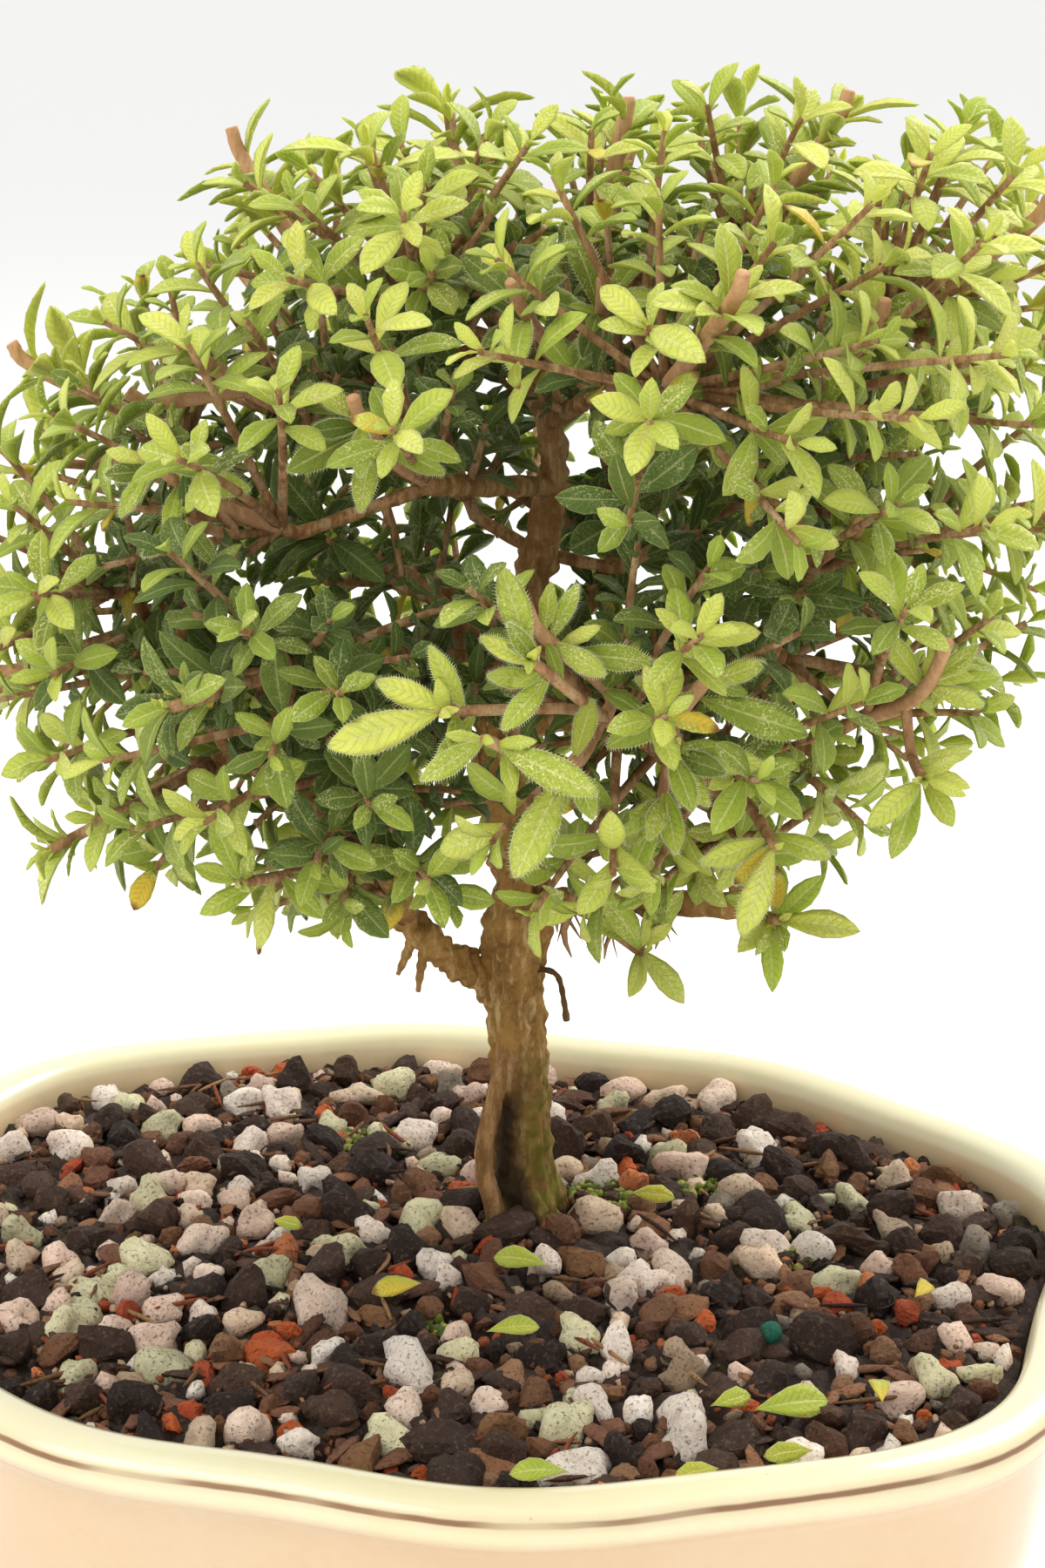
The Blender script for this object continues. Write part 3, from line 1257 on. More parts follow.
def broken_faces(directions, seed):
    """How far a broken stone reaches in each direction: to the nearest of its planes."""
    k = seed[:, None] * 17.0 + np.arange(STONE_PLANES)
    normal = unit(np.stack([draw(k, 141), draw(k, 142), draw(k, 143)], -1) * 2 - 1)
    lean = np.einsum("dj,npj->ndp", directions, normal)
    reach = mix(0.6, 0.95, draw(k, 144))[:, None] / np.maximum(lean, 0.05)
    return np.minimum(reach.min(-1), 1.12)


def add_grains(heap, at, radius, colour, seed, stretch, cuts=2, flat=0.0, rough=0.22, broken=False):
    """Uneven stones: a cut-cube ball stretched along three axes, swollen by waves or cut by planes,
    and turned."""
    directions, quads = cube_ball(cuts)
    count, size = len(at), len(directions)
    reach = 1 + waves(directions[None] + seed[:, None, None] * 7.3, 1.7, 5) * rough
    if broken:
        reach = reach * broken_faces(directions, seed)
    points = directions[None] * reach[..., None] * stretch[:, None] * radius[:, None, None]
    points = np.einsum("nij,nkj->nki", turned(seed, flat), points) + at[:, None]
    faces = (quads[None] + np.arange(count)[:, None, None] * size).reshape(-1, 4)
    heap.add(points, faces.tolist(), grain=np.repeat(colour, size, 0))


def pick(codes, share):
    """Colours from a list of codes, each by a draw between 0 and 1."""
    return np.array([rgb(code)[:3] for code in codes])[(share * len(codes)).astype(int)]


# Grain kinds: share, smallest and largest radius, and colours.
GRAIN_KINDS = (
    (0.19, 1.5, 3.6, ("#f6e6d6", "#f0dac6", "#ecd0bc", "#f8eee0", "#dcd8b0", "#ecd3b6")),
    (0.11, 1.0, 2.8, ("#c8622f", "#b2502c", "#cf7f50")),
    (0.26, 1.2, 3.8, ("#3a2b23", "#4a3629", "#2a1f1a", "#413027")),
    (0.07, 1.2, 3.0, ("#8f8678", "#a99276", "#b39d84")),
    (0.38, 1.1, 3.2, ("#6b4631", "#85603f", "#553826", "#957052", "#7a543a")))
BROKEN_KINDS = (1, 2, 4)
# Pale lumps that stand out in front, as picture place and radius.
SET_LUMPS = (
    (370, 1500, 4.6), (375, 1545, 2.6), (470, 1570, 4.6), (525, 1548, 2.8), (670, 1675, 4.3),
    (650, 1625, 4.2), (735, 1608, 2.4), (560, 1600, 2.8), (668, 1528, 3.2), (712, 1515, 2.2),
    (235, 1500, 2.6), (278, 1508, 2.8), (190, 1495, 2.6), (130, 1520, 3.0), (95, 1497, 2.8),
    (80, 1450, 2.8), (515, 1462, 2.6), (505, 1330, 3.0), (712, 1440, 3.2), (918, 1390, 3.2),
    (960, 1465, 2.9), (1100, 1525, 2.6), (1128, 1562, 2.9), (972, 1555, 2.4), (45, 1280, 3.4),
    (120, 1250, 3.0), (700, 1260, 3.2), (300, 1240, 3.4), (455, 1235, 3.6), (230, 1280, 3.4))
# Room kept free round the trunk, as a grain of no kind.
TRUNK_FOOT = (6.0, 14.5, 6.0, -1)
# Grains thrown, how near they lie as a share of their radii, and how wide a large one is.
THROWN = 4200
OVERLAP = 0.86
LARGE = 2.2
GRAIN_INSET = 9.8
LITTER_INSET = 12.0
CHIP_COUNT = 380
FINE_COUNT = 1700
NEEDLE_COUNT = 90
CHIPS = ("#5a3c2b", "#7d5640", "#3c2b23", "#94694a", "#4a362b")
FINES = ("#6b4a36", "#45332a", "#85583a", "#c9ab8c", "#2d221d", "#9c5430")
MOSS = ("#8b9a3a", "#6f7f2c", "#a7ad57", "#55662a")
NEEDLES = ("#7a5636", "#a67f55", "#3d2a1f", "#8c4a2e")
# Moss patches: picture place, radius, and how many crumbs.
MOSS_PATCHES = ((690, 1372, 6, 70), (800, 1362, 5, 40), (430, 1308, 6, 50), (590, 1395, 5, 50),
                (900, 1440, 5, 30), (500, 1520, 4, 20))
# Shed leaves: picture place, length, turn, and how yellow or dry.
SHED_LEAVES = ((597, 1447, 8.5, 160, 0.15), (590, 1525, 7.5, 10, 0.2), (910, 1612, 10.5, 15, 0.1),
               (840, 1607, 6.5, 30, 0.3), (618, 1690, 7.5, 180, 0.2), (800, 1690, 6.0, 200, 0.3),
               (750, 1372, 7.0, 340, 0.45), (455, 1478, 7.5, 200, 0.9), (905, 1668, 6.5, 190, 0.3),
               (1010, 1595, 6.5, 90, 0.95), (1060, 1480, 6.0, 60, 0.9), (330, 1405, 5.5, 330, 0.9))


def thrown_grains():
    """Grains as rows of x, y, radius and kind: thrown large ones first, each kept only if it lies
    clear of those before it."""
    shares = np.cumsum([kind[0] for kind in GRAIN_KINDS])
    wanted = []
    for i in range(THROWN):
        leans_left = math.cos(TURN * draw(i, 73)) < 0
        share = draw(i, 71) ** (1.3 if leans_left else 1.0) * shares[-1]
        kind = int(np.searchsorted(shares, share))
        low, high = GRAIN_KINDS[kind][1:3]
        wanted.append((mix(low, high, draw(i, 72) ** 2.2), kind, i))
    wanted.sort(reverse=True)
    lumps = [(*seen_at(x, y, 57)[:2], radius, 0) for x, y, radius in SET_LUMPS]
    table = np.array([*lumps, TRUNK_FOOT], float)
    for radius, kind, i in wanted:
        angle, share = TURN * draw(i, 73), math.sqrt(draw(i, 74))
        reach = share * (rim_radius(angle) - GRAIN_INSET - radius)
        x, y = reach * math.cos(angle), reach * math.sin(angle)
        gap = np.hypot(table[:, 0] - x, table[:, 1] - y) - (table[:, 2] + radius) * OVERLAP
        if gap.min() > 0:
            table = np.vstack([table, [x, y, radius, kind]])
    return table[table[:, 3] >= 0]


def make_granules():
    """The grains on the soil, each partly sunk: round ones in one piece, broken ones in another."""
    x, y, radius, kinds = thrown_grains().T
    seed = np.arange(len(x), dtype=float)
    sunk = mix(0.05, 0.45, draw(seed, 75))
    at = np.stack([x, y, soil_height(x, y) - 0.5 + radius * sunk], -1)
    colour = np.zeros((len(x), 3))
    for kind, (_, _, _, codes) in enumerate(GRAIN_KINDS):
        mine = kinds == kind
        colour[mine] = pick(codes, draw(seed[mine], 76))
    colour *= mix(0.8, 1.12, draw(seed, 77))[:, None]
    stretch = np.stack([mix(0.95, 1.3, draw(seed, 78)), mix(0.75, 1.0, draw(seed, 79)),
                        mix(0.65, 0.9, draw(seed, 80))], -1)
    large, sharp = radius > LARGE, np.isin(kinds, BROKEN_KINDS)
    round_heap, broken_heap = Heap(), Heap()
    for heap, some, cuts, swell, rough, broken in (
            (round_heap, large & ~sharp, 4, 1.0, 0.2, False),
            (round_heap, ~large & ~sharp, 2, 1.0, 0.2, False),
            (broken_heap, large & sharp, 4, 1.12, 0.09, True),
            (broken_heap, ~large & sharp, 3, 1.12, 0.09, True)):
        add_grains(heap, at[some], radius[some] * swell, colour[some], seed[some], stretch[some],
                   cuts, rough=rough, broken=broken)
    for made in (round_heap.build("granules_round", GRAINS),
                 broken_heap.build("granules_broken", GRAINS, smooth=False)):
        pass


def scatter(count, salt):
    """Seeds, and places spread evenly over the soil."""
    i = np.arange(count) + 1000.0 * salt
    angle, share = TURN * draw(i, 81), np.sqrt(draw(i, 82))
    reach = share * (rim_radius(angle) - LITTER_INSET)
    x, y = reach * np.cos(angle), reach * np.sin(angle)
    return i, np.stack([x, y, soil_height(x, y)], -1)


def add_chips(heap):
    """Flat chips of bark, then fines."""
    i, at = scatter(CHIP_COUNT, 1)
    size = mix(1.6, 4.6, draw(i, 83) ** 1.6)
    stretch = np.stack([0 * i + 1, mix(0.35, 0.6, draw(i, 84)), mix(0.12, 0.2, draw(i, 85))], -1)
    add_grains(heap, at + UP * 0.7, size, pick(CHIPS, draw(i, 86)), i, stretch, 3, flat=0.85,
               rough=0.1, broken=True)
    i, at = scatter(FINE_COUNT, 2)
    size = mix(0.45, 1.2, draw(i, 83))
    stretch = np.stack([0 * i + 1, mix(0.6, 0.9, draw(i, 84)), mix(0.4, 0.8, draw(i, 85))], -1)
    add_grains(heap, at + UP * 0.1, size, pick(FINES, draw(i, 86)), i, stretch)


def add_moss(heap):
    """Crumbs of moss in patches, evenly spread over each."""
    rows = []
    for salt, (x, y, spread, count) in enumerate(MOSS_PATCHES):
        middle = seen_at(x, y, 56)
        k = np.arange(count) + 500.0 * salt + 7
        angle, reach = TURN * draw(k, 87), spread * np.sqrt(draw(k, 88))
        x, y = middle[0] + reach * np.cos(angle), middle[1] + reach * np.sin(angle)
        rows.append(np.stack([x, y, soil_height(x, y) + 0.3, k], -1))
    rows = np.concatenate(rows)
    k = rows[:, 3]
    add_grains(heap, rows[:, :3], mix(0.4, 1.0, draw(k, 89)), pick(MOSS, draw(k, 90)), k,
               np.ones((len(k), 3)))


def add_needles(heap):
    """Thin dry needles, each bowed as a parabola."""
    _, at = scatter(NEEDLE_COUNT, 3)
    for n, place in enumerate(at):
        yaw, size = TURN * draw(n, 91), mix(4.0, 11.0, draw(n, 92))
        way = np.array([math.cos(yaw), math.sin(yaw), 0.12 * (draw(n, 93) - 0.5)])
        shares = np.linspace(-0.5, 0.5, 5)[:, None]
        aside = np.array([-way[1], way[0], 0.3])
        bow = aside * (0.25 - shares ** 2) * size * 0.5 * (draw(n, 94) - 0.3)
        tube(heap, place + UP * 1.5 + way * shares * size + bow, [0.18, 0.34, 0.38, 0.3, 0.12], 5,
             grain=pick(NEEDLES, draw(n, 95)))


def make_litter():
    """Bark chips, fines, moss crumbs, one green bead of clay and needles."""
    heap = Heap()
    add_chips(heap)
    add_moss(heap)
    bead = seen_at(885, 1530, 57.4)[None]
    add_grains(heap, bead, np.array([1.7]), np.array([rgb("#1f6a55")[:3]]), np.array([3.0]),
               np.ones((1, 3)), 4, rough=0.02)
    add_needles(heap)
    made = heap.build("soil_litter", GRAINS)


def make_fallen_leaves():
    """Shed leaves that lie on the grains."""
    leaves = []
    for n, (x, y, length, turn, dry) in enumerate(SHED_LEAVES):
        at = seen_at(x, y, 59.2)
        yaw = math.radians(turn) + CAMERA_HEADING
        along = unit([math.cos(yaw), math.sin(yaw), 0.1 * (draw(n, 96) - 0.5)])
        lean = AHEAD * mix(0.5, 1.1, draw(n, 97))
        top = unit(UP - lean + VIEW_RIGHT * 0.4 * (draw(n, 98) - 0.5))
        leaves.append(dict(base=at - along * length / 2, along=along,
                           top=unit(top - along * (top @ along)), length=length,
                           width=0.46, fold=0.16, seed=draw(n, 99), tone=(0.5, 0.3, dry)))
    heap = Heap()
    add_leaves(heap, leaves)
    made = heap.build("fallen_leaves", LEAF)


# ---------------------------------------------------------------- trunk, roots and twigs

WOOD_STEP = 0.8
TRUNK_SIDES = 40
TWIG_SIDES = 9
STRIPS = 16
VOXEL = 0.00042
# The trunk's foot, spread over the soil: points with the radius there.
FOOT_PLATE = np.array([[6, 14, 40, 6], [6, 14, 43, 8.6], [6, 14, 52, 8.6], [6, 14, 54.4, 7]], float)


def to_path(points, path):
    """Distance from each point to the nearest sample of a path."""
    return np.sqrt(((points[:, None] - path[None, :, :3]) ** 2).sum(-1)).min(1)


def falling(value, end, span, low=0, high=1):
    """A share that falls as a value rises to its end: (end - value) / span, kept in limits."""
    return np.clip((end - value) / span, low, high)


def trunk_rings():
    """The trunk as rings round its line: its radius times flutes that turn as they rise, and two
    swellings."""
    line = smooth_path(TRUNK, 1.0)
    angle = ring_angles(TRUNK_SIDES)
    x, y, z, radius = (line[:, k:k + 1] for k in range(4))
    flute = 1 + 0.1 * np.sin(3 * angle + z * 0.06) + 0.05 * np.sin(5 * angle - z * 0.11)
    swell = 1 + 0.16 * np.exp(-((z - 104.5) / 3.2) ** 2) * np.maximum(np.cos(angle - 3.6), 0)
    swell = swell + 0.1 * np.exp(-((z - 86) / 2.6) ** 2) * np.maximum(np.cos(angle + 0.6), 0)
    radius = radius * flute * swell
    return np.stack([x + radius * np.cos(angle), y + radius * np.sin(angle), z + 0 * radius], -1)


def melted_wood():
    """Trunk, foot, roots and limbs melted into one skin by a fine voxel remesh: its points, normals
    and faces."""
    rings = trunk_rings()
    rough = Heap()
    rough.add(rings, tube_faces(len(rings), TRUNK_SIDES))
    tube(rough, FOOT_PLATE[:, :3], FOOT_PLATE[:, 3], 24)
    for root in ROOTS:
        path = smooth_path(root, WOOD_STEP)
        tube(rough, path[:, :3], path[:, 3], 14)
    for limb in LIMBS:
        path = smooth_path(limb, WOOD_STEP)
        tube(rough, path[:, :3], path[:, 3] * (1 + 0.1 * np.sin(path[:, 2] * 2.1)), 14)
    lump = rough.build("trunk_rough", BARK)
    melt = lump.modifiers.new("melt", "REMESH")
    melt.mode, melt.voxel_size = "VOXEL", VOXEL
    finished(lump)
    points, normals = get_values(lump.data, "co") * 1000, get_values(lump.data, "normal")
    faces = [list(face.vertices) for face in lump.data.polygons]
    bpy.data.objects.remove(lump)
    return points, normals, faces


def barked(points, normals):
    """Waves raise furrows that run up the wood and lumps across it, less on the bowed root and
    towards the top. Returns the points, and how mossy, green and hollow each is."""
    bow = to_path(points, smooth_path(ROOTS[0], WOOD_STEP))
    is_root = falling(bow, 2.6, 0.8) * (points[:, 2] < 84)
    upward = points * np.array([1, 1, 0.28])
    relief = 0.22 * waves(upward, 1.7, 11) + 0.16 * waves(points, 2.4, 12)
    across = 0.28 * waves(points * np.array([0.35, 0.35, 1]), 3.4, 13)
    across = across * np.clip((points[:, 2] - 80) / 20, 0.2, 1)
    relief = (relief + across) * (1 - 0.7 * is_root) * falling(points[:, 2], 215, 60, 0.3)
    points = points + normals * relief[:, None]
    x, z = points[:, 0], points[:, 2]
    mossy = np.clip((x - 5) / 5, 0, 1) * falling(z, 92, 22)
    mossy = np.maximum(mossy, falling(z, 60, 5, 0, 0.7))
    young = np.clip((z - 120) / 80, 0, 0.5)
    reach = 5.4 + 2.6 * falling(z, 70, 14)
    beside = np.clip((reach - bow) / 1.8, 0, 1) * (1 - is_root) * falling(z, 82, 8)
    return points, np.stack([mossy * (1 - beside), np.maximum(young, 0.6 * is_root), -beside], -1)


def make_trunk(twigs):
    """The melted wood with its bark. Twigs, dry bits and peeling strips are tubes added to the same
    mesh."""
    points, normals, faces = melted_wood()
    points, kind = barked(points, normals)
    heap = Heap()
    heap.add(points, faces, kind=kind)
    for path, radii in twigs:
        fine = smooth_path(np.c_[path, radii], 2.0)
        knots = 1 + 0.08 * np.sin(np.arange(len(fine)) * 1.9 + path[0, 0])
        young = np.repeat(np.clip(1.5 - fine[:, 3] * 0.68, 0.0, 0.85), TWIG_SIDES)
        kind = np.stack([0 * young, young, 0 * young], -1)
        tube(heap, fine[:, :3], fine[:, 3] * knots, TWIG_SIDES, kind=kind)
    for n, bit in enumerate(DRY_BITS):
        path = smooth_path(bit, 0.5)
        knots = 1 + 0.14 * np.sin(np.arange(len(path)) * 1.7)
        dark = -0.75 if n == 2 else 0.0
        tube(heap, path[:, :3], path[:, 3] * knots, TWIG_SIDES, kind=[0.0, 0.15, dark])
    add_splinters(heap)
    trunk = heap.build("trunk_bark", BARK)
    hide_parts("trunk")


def add_splinters(heap):
    """Jagged fibres on the broken stub, and red strips of bark that peel from the low limb."""
    for n in range(9):
        angle, length = TURN * draw(n, 101), mix(2.0, 4.6, draw(n, 102))
        round_stub = np.array([math.cos(angle) * 0.5, math.cos(angle), math.sin(angle)])
        begin = np.array([-9.6, 7.7, 104.4]) + 1.1 * round_stub
        way = unit([-0.6 + 0.4 * (draw(n, 103) - 0.5), -0.3, 0.5 * draw(n, 104)])
        path = begin + way * np.linspace(0, length, 4)[:, None]
        tube(heap, path, [0.7, 0.55, 0.35, 0.12], 5, kind=[0.0, 0.1, 0.35 * draw(n, 105)])
    for n in range(STRIPS):
        share = n / (STRIPS - 1)
        begin = np.array([mix(11, 33, share), mix(12.5, 2, share), mix(107.5, 112, share)])
        fall = mix(3.0, 8.0, draw(n, 106))
        t = np.linspace(0, 1, 6)[:, None]
        aside = np.array([draw(n, 107) - 0.5, draw(n, 108) - 0.8, 0.0])
        path = begin + aside * 4 * t + np.array([0, 0, -fall]) * t ** 1.4 \
            + np.array([1.2, 0, 0]) * np.sin(t * 4 + n)
        wide = np.array([0.5, 1.1, 1.3, 1.0, 0.7, 0.2])[:, None]
        radii = wide * np.array([[1.0, 0.22, 1.0, 0.22]]) * mix(0.6, 1.1, draw(n, 109))
        tube(heap, path, radii, 4, kind=[0.0, 1.0, 0.25 * draw(n, 110)])


# ---------------------------------------------------------------- foliage

# Where older, darker leaves fill the near side of the crown: picture middle and half sizes.
OLD_LEAVES = np.array([[250, 715, 190, 180], [425, 935, 130, 85], [640, 615, 200, 110],
                       [925, 735, 120, 85]])
OLDER = 0.42
NEW_LEAF = -0.1
# Leaves above this line of the picture that point at the viewer this much lean aside.
TOP_EDGE = 140
POINTS_AT = 0.85
# Points of stems in a leafy piece hold nothing about leaves.
NO_LEAF = dict(on_leaf=(0, 0, 0), tone=(0, 0, 0))
STEM_SIDES = 8
# Young leaves at the tip of each tuft; sprays all new; sprays near enough to show their hairs.
BUDS = 3
NEW_SPRAYS = 5
HAIRY_SPRAYS = 8


def old_growth(at):
    """How far a place lies inside one of the old parts: 1 well inside, 0 outside or behind."""
    x, y = picture_place(at)
    middle_x, middle_y, half_x, half_y = OLD_LEAVES.T
    far = np.hypot((x - middle_x) / half_x, (y - middle_y) / half_y).min()
    return float(np.clip(2.5 * (1.1 - far), 0, 1)) if (at - CROWN_MIDDLE) @ FRONT > 0 else 0.0


def tuft_tone(at, seed, extra):
    """Age from 0, bright and new, to 1, dark and old: by depth inside the crown, with a draw. Then
    how speckled, and whether the leaf turned yellow."""
    d = at - CROWN_MIDDLE
    d = d - UP * CROWN_LEAN * d[0]
    depth = 1 - crown_sum(d) ** (1 / CROWN_POWER)
    high = np.clip((at[2] - 120) / 100, 0, 1)
    age = 0.06 + 1.4 * max(depth, 0) + 0.2 * (1 - high) + 0.6 * (draw(seed, 111) - 0.5) + extra
    if extra > NEW_LEAF:
        age += OLDER * old_growth(at)
    speck = np.clip(1.8 * draw(seed, 112) - 0.25, 0.1, 1)
    yellow = 1.0 if draw(seed, 113) > 0.985 else 0.0
    return (float(np.clip(age, 0, 1)), float(speck), yellow)


def lean_aside(leaf):
    """A leaf on the crown's upper edge that points at the viewer leans over, to show its blade."""
    along = leaf["along"]
    if along @ VIEW_FORWARD < -POINTS_AT and picture_place(leaf["base"])[1] < TOP_EDGE:
        side = 1 if draw(leaf["length"], 138) > 0.5 else -1
        along = unit(along + 0.9 * VIEW_RIGHT * side)
        leaf.update(along=along, top=unit(leaf["top"] - along * (leaf["top"] @ along)))


def dress(leaf, ident, extra, width=BLADE_WIDTH, fold=LEAF_FOLD):
    """Gives a leaf its seed, its tone, and its own width and fold."""
    lean_aside(leaf)
    leaf.update(seed=float(draw(ident, 114)), tone=tuft_tone(leaf["base"], ident, extra),
                width=width * mix(0.88, 1.12, draw(ident, 115)),
                fold=fold * mix(0.6, 1.25, draw(ident, 116)))
    return leaf


def add_stub_end(heap, path, radius):
    """A pale disc of wood on a pruned end, just proud of it."""
    way = unit(path[-1] - path[-2])
    end = np.array([path[-1] - way * 0.25, path[-1] + way * 0.12])
    tube(heap, end, [radius * 0.98, radius * 0.8], 9, slot=1, kind=(0, 0, 1), **NO_LEAF)


def add_spray_stem(heap, path, radii, stub):
    """A green stem; one that was pruned is thicker, with a pale end."""
    fine = smooth_path(np.c_[path, radii * (1.28 if stub else 1.0)], 1.2)
    kind = (0, 0.9, 0.55 if stub else 0.15)
    tube(heap, fine[:, :3], fine[:, 3], STEM_SIDES, slot=1, kind=kind, **NO_LEAF)
    if stub:
        add_stub_end(heap, fine[:, :3], fine[-1, 3])


def extra_leaf(number, i, n):
    """Seed, wish and place on the stem of a leaf added to a tuft: the first three are buds that
    just open, the others stand below them."""
    ident = 20000 + (number * 8 + i) * 32 + n
    young = n < BUDS
    tilts, lengths = ((0.25, 0.6), (2.8, 4.6)) if young else ((0.8, 1.5), (5.0, 9.0))
    wanted = (n * GOLDEN * 1.5 + TURN * draw(ident, 117), mix(*tilts, draw(ident, 118)),
              mix(*lengths, draw(ident, 119)))
    return ident, wanted, -0.4 if young else 0.5 + 1.1 * (n - BUDS)


def make_sprays(sprays, crowd):
    """A piece for each spray: its stems, the leaves that the solids have, and smaller young ones
    between them."""
    for number, spray in enumerate(sprays):
        leaves = []
        for i, tuft in enumerate(spray["tufts"]):
            for n, leaf in enumerate(solid_leaves(crowd, tuft, number * 8 + i, number)):
                extra = -0.14 if number < NEW_SPRAYS else 0.0
                leaves.append(dress(leaf, (number * 8 + i) * 16 + n, extra))
        spray["leaves"] = leaves
    front = []
    for number, spray in enumerate(sprays):
        heap = Heap()
        leaves = spray["leaves"]
        for i, tuft in enumerate(spray["tufts"]):
            more = 9 if isinstance(tuft["leaves"], int) else 5
            for n in range(BUDS if tuft.get("stub") else 0, more):
                ident, wanted, rise = extra_leaf(number, i, n)
                leaf = place_leaf(crowd, tuft, wanted, ident, rise, number, (0.3, 0.6), 8)
                if leaf:
                    leaves.append(dress(leaf, ident, -0.22 if n < BUDS else 0.04))
            if not tuft.get("bare"):
                path, radii = stem_run(tuft, i)
                add_spray_stem(heap, path, radii, tuft.get("stub"))
        add_leaves(heap, leaves, kind=(0, 0, 0))
        made = heap.build(f"spray_{number + 1:02d}_leafy", LEAF, TWIG)
        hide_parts(f"spray_{number + 1:02d}")
        if number < HAIRY_SPRAYS:
            front += [leaf for leaf in leaves if leaf["length"] >= FINE_FROM]
    return front


# Shells of inner shoots: share of the crown's size, spacing, tries, leaves on each.
SHELLS = ((0.97, 11.5, 1000, 9), (0.86, 10.5, 900, 9), (0.72, 10.0, 700, 9), (0.56, 10.5, 420, 9),
          (0.38, 11.0, 200, 8))
# The crown's high right shoulder, as middle and half sizes, with shells like those inside it.
SHOULDER = np.array([[64.0, -2.0, 192.0], [27.0, 50.0, 36.0]])
SHOULDER_SHELLS = ((0.97, 11.0, 260, 9), (0.72, 11.0, 160, 9), (0.42, 11.0, 60, 8))
# Picture places along the crown's upper edge: no shoot is added above it.
SKYLINE = np.array([[-400, 900], [0, 470], [60, 420], [130, 335], [200, 270], [260, 215],
                    [320, 145], [450, 125], [580, 95], [690, 65], [860, 40], [970, 40], [1130, 85],
                    [1500, 130]])
# Where the front of the crown opens on its dark inside: picture middle and half sizes.
OPENINGS = ((390, 600, 170, 105), (640, 525, 105, 90), (1010, 880, 60, 40))
OPEN_DEPTH = 22
# Where light comes right through the crown, given the same way.
GAPS = ((605, 540, 62, 48), (620, 652, 58, 46), (1138, 526, 70, 52), (944, 777, 48, 46),
        (700, 498, 46, 38), (250, 340, 42, 40), (212, 905, 50, 42))
SHOOT_MARGIN = 7
SHOOT_POINTS = 8
SHOOT_SIDES = 6
SHOOT_PIECES = 8


def over_skyline(at):
    """True for a place that would stand out above the crown's upper edge."""
    x, y = picture_place(at)
    return y < np.interp(x, *SKYLINE.T) + 12


def in_opening(at):
    """True for a place inside one of the ellipses where the crown is open."""
    x, y = picture_place(at)
    near = (at - CROWN_MIDDLE) @ FRONT > OPEN_DEPTH
    return any(((x - middle_x) / half_x) ** 2 + ((y - middle_y) / half_y) ** 2 < 1
               for middle_x, middle_y, half_x, half_y in GAPS + (OPENINGS if near else ()))


def shoulder_point(azimuth, lift, scale):
    """The point on the shoulder's ellipsoid in a direction."""
    return SHOULDER[0] + heading(azimuth, lift) * SHOULDER[1] * scale


def in_bounds(at):
    """True if a shoot may end there: well inside the pot's outline and outside the openings."""
    inside = abs(at[0]) <= MOST_X - SHOOT_MARGIN and abs(at[1]) <= MOST_Y - SHOOT_MARGIN
    return inside and not over_skyline(at) and not in_opening(at)


def inner_places(sprays):
    """Shoots on shells inside the crown, then inside its right shoulder, each clear of the tufts
    so far."""
    places = of_tufts(sprays, "at")
    shoots = []
    sets = ((0, SHELLS, crown_point), (5000, SHOULDER_SHELLS, shoulder_point))
    for first, shells, surface in sets:
        for shell, (scale, spacing, tries, count) in enumerate(shells):
            for i in range(tries):
                ident = first + shell * 1000 + i
                reach = scale * mix(0.93, 1.0, draw(ident, 121))
                at = surface(*spiral(i, tries, 1.3 * shell), reach)
                clear = np.min(np.linalg.norm(np.array(places) - at, axis=1)) >= spacing
                if clear and in_bounds(at):
                    places.append(at)
                    shoots.append((ident, at, shell, count))
    return shoots


def shoot_leaves(crowd, begin, middle, at, ident, shell, count):
    """Leaves in a golden-angle spiral along the outer part of a shoot, each where the Bezier line
    is at its share and facing along it: they tilt less and grow smaller towards the tip."""
    length = np.linalg.norm(at - begin)
    leaves = []
    for n in range(count):
        order = n / (count - 1)
        share = 1 - min(0.75, (10.0 + 6 * shell) / max(length, 1)) * (1 - order)
        way = unit(2 * (1 - share) * (middle - begin) + 2 * share * (at - middle) + 1e-6)
        tuft = dict(at=bezier(begin, middle, at, share), back=-way, face=unit(way + 0.35 * UP))
        leaf_id = 60000 + ident * 16 + n
        size = mix(*((6.0, 10.5) if shell == 0 else (4.6, 8.2)), draw(leaf_id, 123))
        tilt = mix(1.45, 0.65, order ** 1.5) + 0.2 * (draw(leaf_id, 124) - 0.5)
        wanted = (n * GOLDEN + ident, tilt, size * mix(1.0, 0.6, order ** 4))
        leaf = place_leaf(crowd, tuft, wanted, leaf_id, 0.0, 1000 + ident, (0.3, 0.55), 6)
        if leaf:
            width = 0.4 if shell == 0 else mix(0.46, 0.6, draw(leaf_id, 125))
            leaves.append(dress(leaf, leaf_id, 0.04 + 0.1 * shell, width, 0.24))
    return leaves


